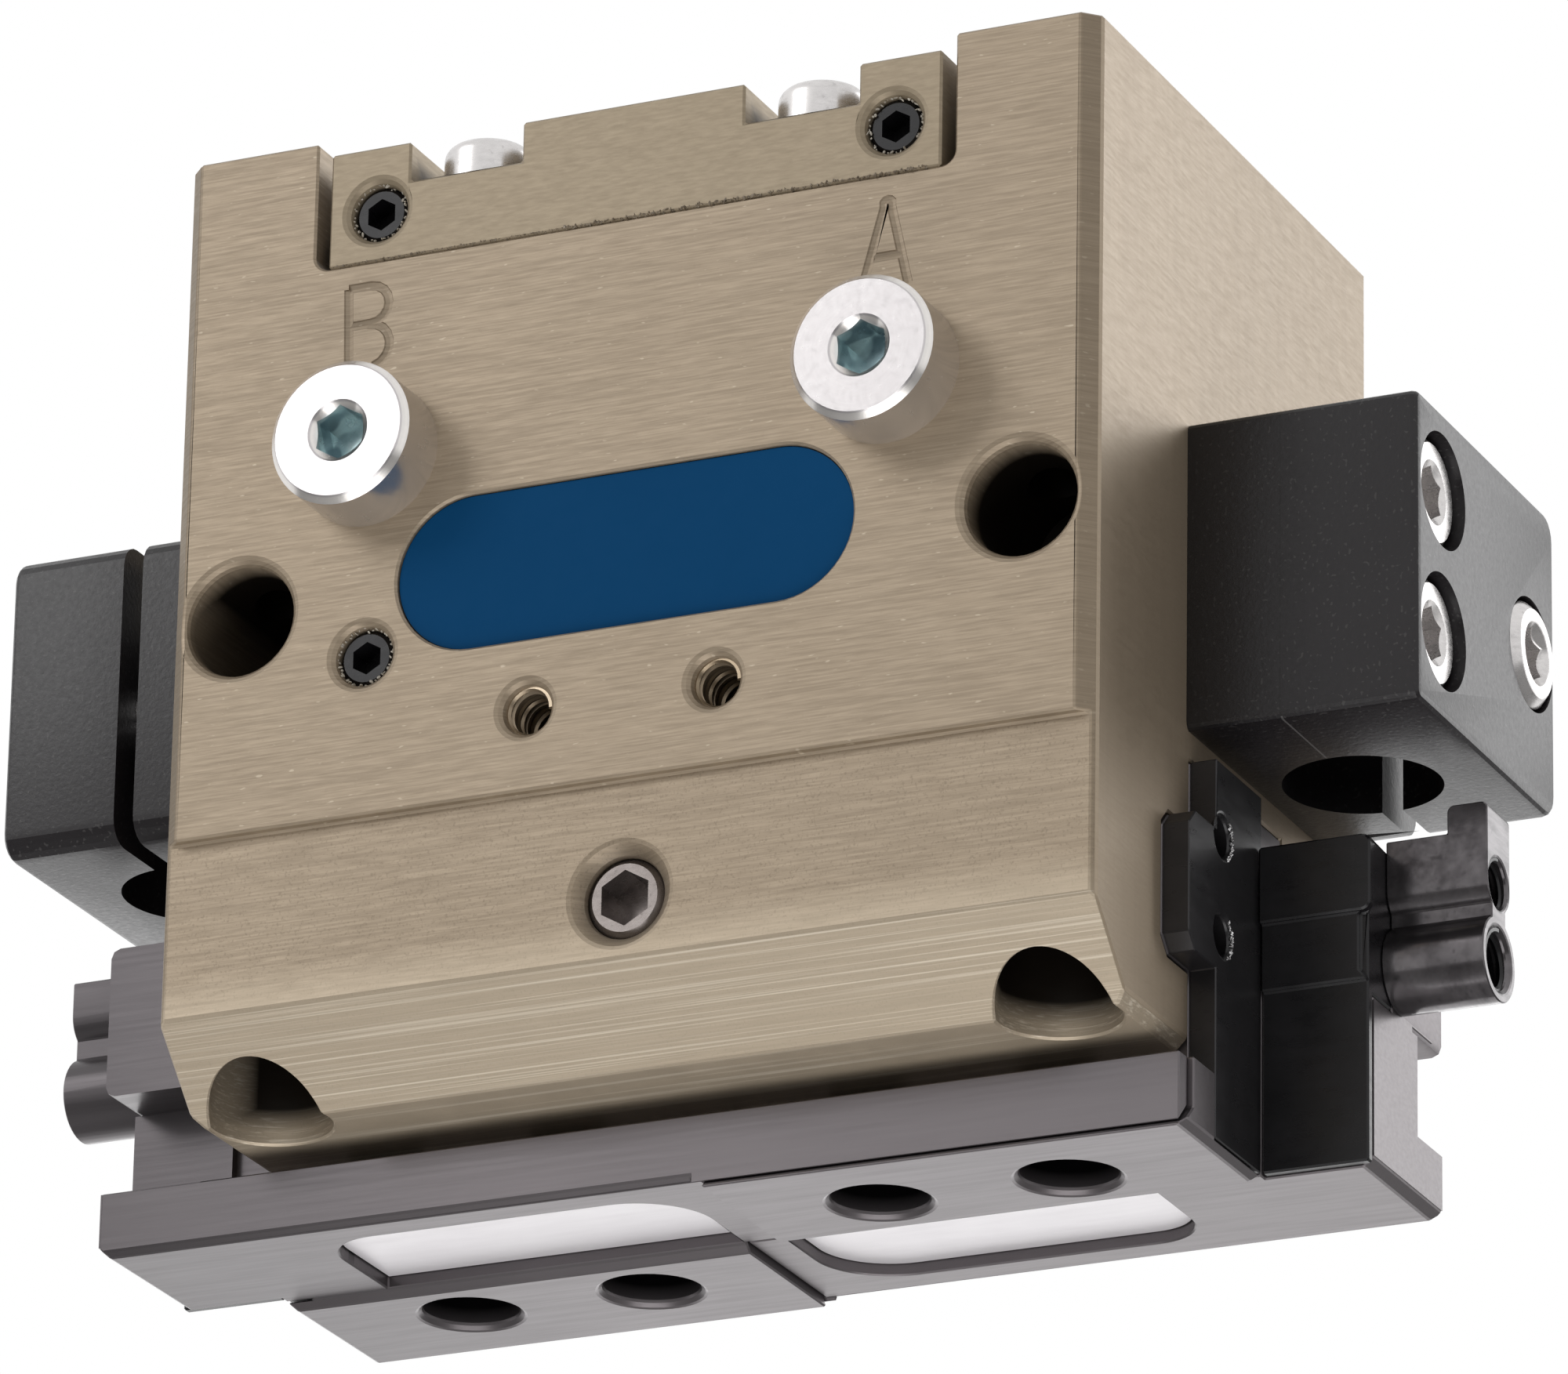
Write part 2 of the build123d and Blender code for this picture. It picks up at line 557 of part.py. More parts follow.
def make_cam_block():
    x0, x1 = JAW_SPLIT + 0.05, JAW_END
    top, (step, ledge) = CAM_BLOCK_TOP_Z, CAM_BLOCK_STEP_Z
    head = block(x0, x1 + 0.3, -CAM_PROUD, 0, step, top)
    head = fillet(head.edges().filter_by(Axis.Y).group_by(Axis.X)[-1], 0.5)
    body = block(x0, x1, -HALF_GAP, CAM_BLOCK_T, GUIDE_LEDGE_Z, top)
    cheek = [(x0, ledge), (x1, ledge), (x1 - 0.4, ledge + 0.5), (x1 - 0.4, step), (x0, step)]
    middle = slab_xz(cheek, -CAM_PROUD / 2, 0)
    leg = block(x0, x1, -HALF_GAP, CAM_LEG_T, JAW_FACE_Z + 0.1, GUIDE_LEDGE_Z + 0.5)
    return head + body + middle + leg


def make_control_cam():
    start = (JAW_END, CAM_Y, CAM_LOW_Z)
    high = (JAW_END, CAM_Y, CAM_HIGH_Z)
    length = CAM_END - JAW_END
    along = (1, 0, 0)
    half = CAM_HIGH_D / 2
    cam = rod(start, along, CAM_LOW_D / 2, length) + rod(high, along, half, length)
    cam += block(JAW_END, CAM_END, CAM_Y - 0.9, CAM_Y + 0.9, CAM_LOW_Z, CAM_HIGH_Z)
    cam += block(JAW_END, CAM_END, CAM_Y - half, CAM_Y + half, CAM_HIGH_Z, CAM_TOP_Z)
    tab = block(CAM_TAB_X, CAM_END, CAM_Y - half, CAM_Y + half, CAM_HIGH_Z, CAM_TAB_TOP_Z)
    cam += fillet(tab.edges().filter_by(Axis.Y).group_by(Axis.Z)[-1], 0.35)
    cam -= hole((CAM_END, CAM_Y, CAM_LOW_Z), (-1, 0, 0), CAM_LOW_HOLE_D, length, 0.25)
    cam -= hole((CAM_END, CAM_Y, CAM_HIGH_Z), (-1, 0, 0), CAM_HIGH_HOLE_D, length, 0.15)
    return cam


def make_bracket():
    body = block(BODY_W / 2, BRACKET_X1, BRACKET_Y0, BRACKET_Y1, BRACKET_Z0, BRACKET_Z1)
    outer = body.edges().group_by(Axis.X)
    body = fillet(body.edges() - outer[0], BRACKET_FILLET)
    body -= rod((SENSOR_X, SENSOR_Y, 0), (0, 0, -1), SENSOR_D / 2, BODY_H)
    body -= block(SENSOR_X - SLIT_W / 2, SENSOR_X + SLIT_W / 2, SENSOR_Y, BODY_D, -BODY_H, 0)
    seat = BRACKET_X1 - BRACKET_HEAD_SINK - BRACKET_HEAD_H
    for z in BRACKET_SCREW_Z:
        body -= rod((seat, BRACKET_SCREW_Y, z), (1, 0, 0), BRACKET_HEAD_D / 2 + 0.35, BODY_W)
        body -= rod((seat, BRACKET_SCREW_Y, z), (-1, 0, 0), BRACKET_SCREW_D / 2 + 0.2, BODY_W)
    body -= rod((BRACKET_X1 - CLAMP_SINK, CLAMP_SCREW_Y, CLAMP_SCREW_Z), (1, 0, 0),
                BRACKET_HEAD_D / 2 + 0.2, BODY_W)
    body -= rod((BRACKET_X1 - CLAMP_SINK, CLAMP_SCREW_Y, CLAMP_SCREW_Z), (-1, 0, 0),
                CLAMP_SCREW_D / 2 + THREAD_GAP, CLAMP_SCREW_L + 0.3)
    return body


def make_bracket_screws():
    seat = BRACKET_X1 - BRACKET_HEAD_SINK - BRACKET_HEAD_H
    right = [screw((seat, BRACKET_SCREW_Y, z), (-1, 0, 0), BRACKET_SCREW_D - 2 * THREAD_GAP,
                   BRACKET_SCREW_L, BRACKET_HEAD_D, BRACKET_HEAD_H, 2.5) for z in BRACKET_SCREW_Z]
    return Compound(right + [turned(one) for one in right])


def make_clamp_screws():
    right = screw((BRACKET_X1 - CLAMP_SINK, CLAMP_SCREW_Y, CLAMP_SCREW_Z), (-1, 0, 0),
                  CLAMP_SCREW_D, CLAMP_SCREW_L, BRACKET_HEAD_D, BRACKET_HEAD_H, 2.5, 0.5)
    return Compound([right, turned(right)])


jaw = make_jaw()
end_plate = make_end_plate()
cam_block = make_cam_block()
control_cam = make_control_cam()
bracket = make_bracket()
pocket_sheet = pocket_shape(SHEET_GAP, SHEET_T)

parts = {
    "housing": make_housing(),
    "cover_plate": make_cover(),
    "cover_seal": cover_groove(0.15),
    "cover_screws": make_cover_screws(),
    "port_plug_left": make_port_plug(-PORT_X),
    "port_plug_right": make_port_plug(PORT_X),
    "channel_plugs": make_channel_plugs(),
    "stop_screw": make_stop_screw(),
    "label_plate": label_shape(LABEL_L - 2 * LABEL_GAP, LABEL_W - 2 * LABEL_GAP, LABEL_T,
                               LABEL_DEPTH - LABEL_T),
    "rod_seal": make_rod_seal(),
    "piston": make_piston(),
    "piston_seal": make_piston_seal(),
    "piston_screw": make_piston_screw(),
    "wedge_hook": make_wedge_hook(),
    "right_jaw": jaw,
    "right_jaw_sheet": pocket_sheet,
    "right_end_plate": end_plate,
    "right_cam_block": cam_block,
    "right_control_cam": control_cam,
    "left_jaw": turned(jaw),
    "left_jaw_sheet": turned(pocket_sheet),
    "left_end_plate": turned(end_plate),
    "left_cam_block": turned(cam_block),
    "left_control_cam": turned(control_cam),
    "right_sensor_bracket": bracket,
    "left_sensor_bracket": turned(bracket),
    "bracket_screws": make_bracket_screws(),
    "clamp_screws": make_clamp_screws(),
}

os.makedirs("parts", exist_ok=True)
for name, shape in parts.items():
    export_step(shape, f"parts/{name}.step")
    print(name, round(shape.volume, 2), len(shape.solids()))
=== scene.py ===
import math

import bmesh
import bpy
from mathutils import Matrix, Vector


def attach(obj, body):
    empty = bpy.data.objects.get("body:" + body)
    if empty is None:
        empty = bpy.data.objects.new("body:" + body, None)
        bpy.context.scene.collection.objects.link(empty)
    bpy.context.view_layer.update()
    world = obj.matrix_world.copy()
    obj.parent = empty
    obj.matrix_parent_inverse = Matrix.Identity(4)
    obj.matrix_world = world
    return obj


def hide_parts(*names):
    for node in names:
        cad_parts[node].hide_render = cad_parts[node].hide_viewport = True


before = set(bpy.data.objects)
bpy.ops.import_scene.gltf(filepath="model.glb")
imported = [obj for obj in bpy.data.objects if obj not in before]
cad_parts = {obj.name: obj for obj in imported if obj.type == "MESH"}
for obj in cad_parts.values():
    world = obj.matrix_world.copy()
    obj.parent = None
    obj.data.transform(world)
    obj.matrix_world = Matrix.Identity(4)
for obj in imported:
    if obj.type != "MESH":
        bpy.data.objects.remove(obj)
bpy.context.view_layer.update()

MM = 0.001

# Places on the object, in millimetres
FRONT = -18.0                   # the face with the two air ports
BODY_CENTRE, BODY_HALF = (0, 0, -25), (25, 18, 25)
COVER_CENTRE, COVER_HALF = (0, 0, -3.875), (16.75, 18, 3.125)
SIDE = 24.9                     # just inside the two sides of the body
CORNER = 42.1                   # x and y add up to more than this on the corner chamfers
PANEL_TOP, FLANK_TOP = -36.7, -45.7     # where the looks of the lower panel and the flank begin
JOINT_Z = -6.94                 # the joint under the cover
PLUG_X, PLUG_Z, PLUG_FACE = 14.1, -17.5, -21.5
FACE_HOLE_X, FACE_HOLE_Z = 5.07, -32.3
FINGER_X, FINGER_Y, FINGER_HALF_PITCH = 13.1, 4.16, 5.0
JAW_SPLIT, JAW_END = 26.4, 32.0         # the full width of a jaw ends, and its rear half ends
PLATE_HOLES_Z = (-39.3, -44.4)          # as in the CAD model; PLATE_RISE lifts them
PLATE_RISE = 0.45
CAM_Y, CAM_HIGH_Z = 3.8, -39.8
BRACKET_LOW, BRACKET_HIGH = (25.0, -6.3, -33.6), (37.1, 12.3, -17.4)
BRACKET_SCREW_Y, BRACKET_SCREWS_Z = -2.9, (-21.6, -29.0)
CLAMP_SCREW_Y, CLAMP_SCREW_Z = 9.05, -25.8
SENSOR_X, SENSOR_Y = 30.2, 3.8
SCREW_X, SCREW_Y, SCREW_SEAT, SCREW_TOP = 9.2, 15.4, -3.25, -0.75   # the cover screws' heads


# Camera, light and backdrop

def aim_camera():
    """The camera of the photograph, solved from the edges of the body."""
    azimuth, elevation, roll = (math.radians(a) for a in (24.946, 21.458, 1.0873))
    focal_px, width_px = 14166, 2000
    look = Vector((-math.sin(azimuth) * math.cos(elevation),
                   math.cos(azimuth) * math.cos(elevation), math.sin(elevation)))
    side = look.cross(Vector((0, 0, 1))).normalized()
    up = side.cross(look)
    x = side * math.cos(roll) + up * math.sin(roll)
    y = up * math.cos(roll) - side * math.sin(roll)
    data = bpy.data.cameras.new("photo_camera")
    data.sensor_width = 36.0
    data.lens = focal_px / width_px * data.sensor_width
    data.clip_start = 0.01
    data.clip_end = 20.0
    camera = bpy.data.objects.new("photo_camera", data)
    place = Matrix((x, y, -look)).transposed().to_4x4()
    place.translation = Vector((219.33, -470.5, -229.4)) * MM
    camera.matrix_world = place
    bpy.context.scene.collection.objects.link(camera)
    bpy.context.scene.camera = camera


def soft_box(name, place, size, power):
    """A square studio lamp that points at the middle of the object."""
    data = bpy.data.lights.new(name, "AREA")
    data.shape = "SQUARE"
    data.size = size
    data.energy = power
    lamp = bpy.data.objects.new(name, data)
    lamp.location = Vector(place)
    middle = Vector((0, 0, -27)) * MM
    lamp.rotation_euler = (middle - Vector(place)).to_track_quat("-Z", "Y").to_euler()
    bpy.context.scene.collection.objects.link(lamp)


def light_the_studio():
    """Four soft boxes, and a world that is white to the camera and dim as a light."""
    world = bpy.data.worlds.new("studio")
    bpy.context.scene.world = world
    world.use_nodes = True
    nodes, links = world.node_tree.nodes, world.node_tree.links
    nodes.clear()
    out = nodes.new("ShaderNodeOutputWorld")
    mix = nodes.new("ShaderNodeMixShader")
    room = nodes.new("ShaderNodeBackground")
    room.inputs["Color"].default_value = (1.0, 0.99, 0.98, 1)
    room.inputs["Strength"].default_value = 0.21
    white = nodes.new("ShaderNodeBackground")
    white.inputs["Color"].default_value = (1, 1, 1, 1)
    white.inputs["Strength"].default_value = 1.0
    path = nodes.new("ShaderNodeLightPath")
    seen = nodes.new("ShaderNodeMath")
    seen.operation = "MAXIMUM"
    clear = nodes.new("ShaderNodeMath")
    clear.operation = "MAXIMUM"
    links.new(path.outputs["Is Camera Ray"], seen.inputs[0])
    links.new(path.outputs["Is Glossy Ray"], seen.inputs[1])
    links.new(seen.outputs[0], clear.inputs[0])
    links.new(path.outputs["Is Transmission Ray"], clear.inputs[1])
    links.new(clear.outputs[0], mix.inputs[0])
    links.new(room.outputs[0], mix.inputs[1])
    links.new(white.outputs[0], mix.inputs[2])
    links.new(mix.outputs[0], out.inputs["Surface"])
    soft_box("lamp_rear_right", (0.52, 0.68, 0.3), 0.6, 2.15)
    soft_box("lamp_below", (0.15, -0.3, -0.8), 0.8, 4.4)
    soft_box("lamp_rear_low", (-0.38, 0.82, -0.36), 0.9, 3.1)
    soft_box("lamp_front_left", (-0.62, -0.7, 0.5), 0.5, 2.45)


def lay_the_floor():
    """A sheet of white paper far below the object."""
    mesh = bpy.data.meshes.new("studio_floor")
    half, z = 3.0, -0.9
    mesh.from_pydata([(-half, -half, z), (half, -half, z), (half, half, z), (-half, half, z)], [],
                     [(0, 1, 2, 3)])
    floor = bpy.data.objects.new("studio_floor", mesh)
    bpy.context.scene.collection.objects.link(floor)
    material = bpy.data.materials.new("studio_paper")
    material.use_nodes = True
    shader = material.node_tree.nodes["Principled BSDF"]
    shader.inputs["Base Color"].default_value = (0.9, 0.9, 0.9, 1)
    shader.inputs["Roughness"].default_value = 0.9
    mesh.materials.append(material)


# Finishes

def shader_group(name, inputs, outputs):
    """An empty node group with named sockets, and its two end nodes."""
    tree = bpy.data.node_groups.new(name, "ShaderNodeTree")
    for label, kind, value in inputs:
        socket = tree.interface.new_socket(name=label, in_out="INPUT", socket_type=kind)
        socket.default_value = value
    for label, kind in outputs:
        tree.interface.new_socket(name=label, in_out="OUTPUT", socket_type=kind)
    return tree, tree.nodes.new("NodeGroupInput"), tree.nodes.new("NodeGroupOutput")


def maths(tree, kind, a, b=None):
    """A Math node between sockets or numbers."""
    node = tree.nodes.new("ShaderNodeMath")
    node.operation = kind
    for slot, value in enumerate((a, b)):
        if isinstance(value, (int, float)):
            node.inputs[slot].default_value = value
        elif value is not None:
            tree.links.new(value, node.inputs[slot])
    return node.outputs[0]


def times(tree, first, *factors):
    """The product of sockets and numbers."""
    for factor in factors:
        first = maths(tree, "MULTIPLY", first, factor)
    return first


def vector_maths(tree, kind, a, b=None):
    """A Vector Math node between vector sockets or plain vectors."""
    node = tree.nodes.new("ShaderNodeVectorMath")
    node.operation = kind
    for slot, value in enumerate((a, b)):
        if isinstance(value, tuple):
            node.inputs[slot].default_value = value
        elif value is not None:
            tree.links.new(value, node.inputs[slot])
    return node.outputs[0]


def distance(tree, a, b):
    """The length of a step with two parts."""
    return maths(tree, "SQRT", maths(tree, "ADD", times(tree, a, a), times(tree, b, b)))


def noise(tree, vector, scale, detail=2.0, rough=0.5):
    """The grey value of a Noise Texture."""
    node = tree.nodes.new("ShaderNodeTexNoise")
    tree.links.new(vector, node.inputs["Vector"])
    if isinstance(scale, (int, float)):
        node.inputs["Scale"].default_value = scale
    else:
        tree.links.new(scale, node.inputs["Scale"])
    node.inputs["Detail"].default_value = detail
    node.inputs["Roughness"].default_value = rough
    return node.outputs["Fac"]


def grain(tree, vector, stretch, detail=1.0, rough=0.5):
    """Noise with its own scale along each axis."""
    return noise(tree, vector_maths(tree, "MULTIPLY", vector, stretch), 1.0, detail, rough)


def mixed(tree, factor, a, b):
    """A colour between two colours or colour sockets."""
    node = tree.nodes.new("ShaderNodeMix")
    node.data_type = "RGBA"
    for slot, value in ((0, factor), (6, a), (7, b)):
        if hasattr(value, "is_linked"):
            tree.links.new(value, node.inputs[slot])
        else:
            node.inputs[slot].default_value = value
    return node.outputs[2]


def spread(tree, value, low, high, to_low=0.0, to_high=1.0):
    """A value between two limits, mapped to another range."""
    node = tree.nodes.new("ShaderNodeMapRange")
    tree.links.new(value, node.inputs["Value"])
    for label, number in (("From Min", low), ("From Max", high), ("To Min", to_low),
                          ("To Max", to_high)):
        node.inputs[label].default_value = number
    return node.outputs["Result"]


def split(tree, vector):
    """The X, Y and Z of a vector."""
    node = tree.nodes.new("ShaderNodeSeparateXYZ")
    tree.links.new(vector, node.inputs[0])
    return node.outputs


def shade_bores(tree, vector, colour, dark, centre, half, flank, start, full):
    """A colour that goes dark inside the bores of a piece, as painted shade. All lengths are in
    millimetres.
    """
    group = tree.nodes.new("ShaderNodeGroup")
    group.node_tree = BORE_SHADE
    tree.links.new(vector, group.inputs["Vector"])
    group.inputs["Centre"].default_value = [c * MM for c in centre]
    group.inputs["Half Size"].default_value = [h * MM for h in half]
    for label, value in (("Flank", flank), ("From", start), ("To", full)):
        group.inputs[label].default_value = value * MM
    return mixed(tree, group.outputs["Shade"], colour, dark)


def make_tool_marks():
    """Cutter lines, soft clouds and specks of a machined face, as three masks and a height."""
    tree, start, end = shader_group(
        "tool marks",
        [("Vector", "NodeSocketVector", (0, 0, 0)), ("Line Stretch", "NodeSocketVector", (1, 1, 1)),
         ("Cloud Size", "NodeSocketFloat", 100.0), ("Speck Size", "NodeSocketFloat", 3000.0)],
        [("Lines", "NodeSocketFloat"), ("Clouds", "NodeSocketFloat"), ("Specks", "NodeSocketFloat"),
         ("Height", "NodeSocketFloat")])
    place, speck_size = start.outputs["Vector"], start.outputs["Speck Size"]
    fine = grain(tree, place, start.outputs["Line Stretch"], 3.0, 0.6)
    lines = spread(tree, fine, 0.3, 0.7)
    clouds = spread(tree, noise(tree, place, start.outputs["Cloud Size"], 3.0), 0.35, 0.65)
    specks = spread(tree, noise(tree, place, speck_size, 1.0), 0.66, 0.72)
    grit = noise(tree, place, speck_size, 2.0)
    height = maths(tree, "ADD", times(tree, fine, 0.7), times(tree, grit, 0.3))
    for label, socket in (("Lines", lines), ("Clouds", clouds), ("Specks", specks),
                          ("Height", height)):
        tree.links.new(socket, end.inputs[label])
    return tree


def make_bore_shade():
    """How much painted shade a bore gets: 0 at the outside of a box with sloping flanks, 1 well
    inside it.
    """
    tree, start, end = shader_group(
        "bore shade",
        [("Vector", "NodeSocketVector", (0, 0, 0)), ("Centre", "NodeSocketVector", (0, 0, 0)),
         ("Half Size", "NodeSocketVector", (1, 1, 1)), ("Flank", "NodeSocketFloat", 1.0),
         ("From", "NodeSocketFloat", 0.001), ("To", "NodeSocketFloat", 0.003)],
        [("Shade", "NodeSocketFloat")])
    offset = vector_maths(tree, "SUBTRACT", start.outputs["Vector"], start.outputs["Centre"])
    reach = vector_maths(tree, "ABSOLUTE", offset)
    sides = split(tree, vector_maths(tree, "SUBTRACT", start.outputs["Half Size"], reach))
    away = split(tree, reach)
    flank = maths(tree, "SUBTRACT", start.outputs["Flank"], maths(tree, "ADD", away[1], away[2]))
    depth = maths(tree, "MINIMUM", maths(tree, "MINIMUM", sides[0], sides[1]),
                  maths(tree, "MINIMUM", sides[2], times(tree, flank, 0.707)))
    shade = tree.nodes.new("ShaderNodeMapRange")
    tree.links.new(depth, shade.inputs["Value"])
    tree.links.new(start.outputs["From"], shade.inputs["From Min"])
    tree.links.new(start.outputs["To"], shade.inputs["From Max"])
    tree.links.new(shade.outputs["Result"], end.inputs["Shade"])
    return tree


TOOL_MARKS = make_tool_marks()
BORE_SHADE = make_bore_shade()


def rgb(r, g, b):
    """A colour as it looks in the photograph, 0 to 255, made linear."""
    return tuple(((c / 255 + 0.055) / 1.055) ** 2.4 if c > 10 else c / 255 / 12.92
                 for c in (r, g, b)) + (1.0,)


def finish(name, colour, dark, light, metallic, rough, stretch, cloud=120.0, speck=2500.0,
           line_share=0.5, cloud_share=0.5, speck_share=0.3, bump=0.15, depth=0.00003, specular=0.5,
           change=None):
    """A worked surface: a base colour that cutter lines and specks darken, and clouds lighten.

    change(tree, vector, colour) may put more on the colour before it reaches the shader.
    """
    material = bpy.data.materials.new(name)
    material.use_nodes = True
    tree = material.node_tree
    shader = tree.nodes["Principled BSDF"]
    place = tree.nodes.new("ShaderNodeTexCoord")
    marks = tree.nodes.new("ShaderNodeGroup")
    marks.node_tree = TOOL_MARKS
    tree.links.new(place.outputs["Object"], marks.inputs["Vector"])
    marks.inputs["Line Stretch"].default_value = stretch
    marks.inputs["Cloud Size"].default_value = cloud
    marks.inputs["Speck Size"].default_value = speck
    out = mixed(tree, times(tree, marks.outputs["Lines"], line_share), colour, dark)
    out = mixed(tree, times(tree, marks.outputs["Clouds"], cloud_share), out, light)
    out = mixed(tree, times(tree, marks.outputs["Specks"], speck_share), out, dark)
    if change:
        out = change(tree, place.outputs["Object"], out)
    tree.links.new(out, shader.inputs["Base Color"])
    roughness = spread(tree, marks.outputs["Lines"], 0.0, 1.0, *rough)
    tree.links.new(roughness, shader.inputs["Roughness"])
    shader.inputs["Metallic"].default_value = metallic
    shader.inputs["Specular IOR Level"].default_value = specular
    relief = tree.nodes.new("ShaderNodeBump")
    relief.inputs["Strength"].default_value = bump
    relief.inputs["Distance"].default_value = depth
    tree.links.new(marks.outputs["Height"], relief.inputs["Height"])
    tree.links.new(relief.outputs["Normal"], shader.inputs["Normal"])
    return material


def body_marks(tree, vector, colour):
    """Brushed streaks on the front, a blasted lower panel and bright cutter lines on the flank,
    with painted light on the flank, painted shade on the corner chamfers and painted shade inside
    the bores.
    """
    x, y, z = split(tree, vector)
    from_middle = maths(tree, "ABSOLUTE", x)
    on_side = maths(tree, "GREATER_THAN", from_middle, SIDE * MM)
    on_front = maths(tree, "SUBTRACT", 1.0, on_side)
    above = times(tree, maths(tree, "GREATER_THAN", z, PANEL_TOP * MM), on_front)
    below = times(tree, maths(tree, "LESS_THAN", z, PANEL_TOP * MM), on_front)
    on_flank = times(tree, maths(tree, "LESS_THAN", z, FLANK_TOP * MM), on_front)
    # painted light: the flank and a band above it are lightened where the lamp from below falls
    flank_painted_light = times(tree, spread(tree, z, -43.5 * MM, -46 * MM), on_front)
    # painted shade: the corner chamfers are darkened where no lamp reaches them
    corner_painted_shade = maths(tree, "GREATER_THAN", maths(tree, "ADD", from_middle, maths(
        tree, "ABSOLUTE", y)), CORNER * MM)
    streaks = spread(tree, grain(tree, vector, (260, 260, 8800), 3.0, 0.65), 0.38, 0.62)
    sparks = spread(tree, grain(tree, vector, (1500, 1500, 5200)), 0.70, 0.76)
    pits = spread(tree, grain(tree, vector, (8200, 8200, 6800)), 0.42, 0.28)
    cuts = spread(tree, grain(tree, vector, (22, 1400, 9600), 2.0, 0.7), 0.52, 0.7)
    drawn = spread(tree, grain(tree, vector, (1, 1700, 60)), 0.3, 0.7)
    pale, deep = rgb(206, 192, 170), rgb(112, 98, 79)
    out = mixed(tree, times(tree, streaks, 0.34), colour, deep)
    out = mixed(tree, times(tree, sparks, above, 0.6), out, pale)
    out = mixed(tree, times(tree, pits, below, 0.35), out, deep)
    out = mixed(tree, times(tree, flank_painted_light, 0.5), out, rgb(220, 204, 180))
    out = mixed(tree, times(tree, cuts, on_flank, 0.7), out, rgb(246, 234, 214))
    out = mixed(tree, times(tree, corner_painted_shade, 0.45), out, deep)
    out = mixed(tree, on_side, out, mixed(tree, times(tree, drawn, 0.07), colour, deep))
    # painted shade: near black inside bores and hollows, from 0.7 mm deep
    return shade_bores(tree, vector, out, rgb(24, 18, 12), BODY_CENTRE, BODY_HALF, flank=38.15,
                       start=0.7, full=1.9)


def cover_marks(tree, vector, colour):
    """A finer brushed front, with painted shade inside its holes."""
    streaks = spread(tree, grain(tree, vector, (1300, 1300, 7800), 2.0), 0.35, 0.65)
    out = mixed(tree, times(tree, streaks, 0.22), colour, rgb(118, 104, 84))
    # painted shade: near black inside holes, from 0.6 mm deep
    return shade_bores(tree, vector, out, rgb(30, 24, 16), COVER_CENTRE, COVER_HALF, flank=100,
                       start=0.6, full=1.6)


def jaw_marks(tree, vector, colour):
    """The left end is a little darker, and the two finger holes of a jaw are painted dark inside,
    as painted shade.
    """
    x, y, z = split(tree, vector)
    from_pair = maths(tree, "SUBTRACT", maths(tree, "ABSOLUTE", x), FINGER_X * MM)
    along = maths(tree, "SUBTRACT", maths(tree, "ABSOLUTE", from_pair), FINGER_HALF_PITCH * MM)
    across = maths(tree, "SUBTRACT", maths(tree, "ABSOLUTE", y), FINGER_Y * MM)
    # painted shade: the finger holes go near black inside
    inside = maths(tree, "LESS_THAN", distance(tree, along, across), 2.62 * MM)
    deep_in = spread(tree, z, -54.75 * MM, -53.9 * MM)
    to_left = spread(tree, x, -JAW_END * MM, -12 * MM, 0.5, 0.0)
    out = mixed(tree, to_left, colour, rgb(58, 55, 57))
    return mixed(tree, times(tree, inside, deep_in), out, rgb(22, 20, 22))


def plug_marks(tree, vector, colour):
    """The hexagon in a plug's head has a blue-grey floor, and its face fine turned rings. The front
    face is painted darker than the sides, as painted shade.
    """
    x, y, z = split(tree, vector)
    across = maths(tree, "SUBTRACT", maths(tree, "ABSOLUTE", x), PLUG_X * MM)
    up = maths(tree, "SUBTRACT", z, PLUG_Z * MM)
    far = distance(tree, across, up)
    ring_pitch = 0.22 * MM
    rings = maths(tree, "SINE", times(tree, far, 2 * math.pi / ring_pitch))
    # painted shade: the front face is darkened against the sides
    face_painted_shade = spread(tree, y, (PLUG_FACE + 0.06) * MM, (PLUG_FACE + 0.1) * MM, 0.75, 0.0)
    out = mixed(tree, spread(tree, rings, -1.0, 1.0, 0.0, 0.12), colour, rgb(176, 174, 175))
    out = mixed(tree, face_painted_shade, out, rgb(190, 186, 188))
    in_socket = times(tree, maths(tree, "LESS_THAN", far, 1.52 * MM),
                      spread(tree, y, (PLUG_FACE + 0.2) * MM, (PLUG_FACE + 0.6) * MM))
    facets = spread(tree, grain(tree, vector, (900, 900, 900), 0.0), 0.45, 0.55)
    return mixed(tree, in_socket, out, mixed(tree, facets, rgb(132, 154, 160), rgb(186, 206, 208)))


def bracket_marks(tree, vector, colour):
    """Pale dust, a dark parting line with a painted highlight on it underneath, and painted shade
    on the right bracket next to the body.
    """
    x, y, z = split(tree, vector)
    dust = spread(tree, grain(tree, vector, (5200, 5200, 5200), 0.0), 0.70, 0.78)
    from_seam = maths(tree, "SUBTRACT", maths(tree, "ABSOLUTE", x), 29.9 * MM)
    seam = maths(tree, "LESS_THAN", maths(tree, "ABSOLUTE", from_seam), 0.05 * MM)
    # painted shade: the right bracket goes near black next to the body
    painted_shade_by_body = times(tree, spread(tree, x, 25 * MM, 31 * MM, 0.75, 0.0),
                    maths(tree, "GREATER_THAN", x, 0.0))
    under = maths(tree, "LESS_THAN", z, -33.5 * MM)
    out = mixed(tree, times(tree, dust, 0.14), colour, rgb(150, 148, 146))
    out = mixed(tree, times(tree, seam, 0.6), out, rgb(24, 22, 22))
    out = mixed(tree, painted_shade_by_body, out, rgb(6, 6, 7))
    # painted highlight: the parting line is lightened on the underside
    return mixed(tree, times(tree, seam, under, 0.5), out, rgb(120, 118, 118))


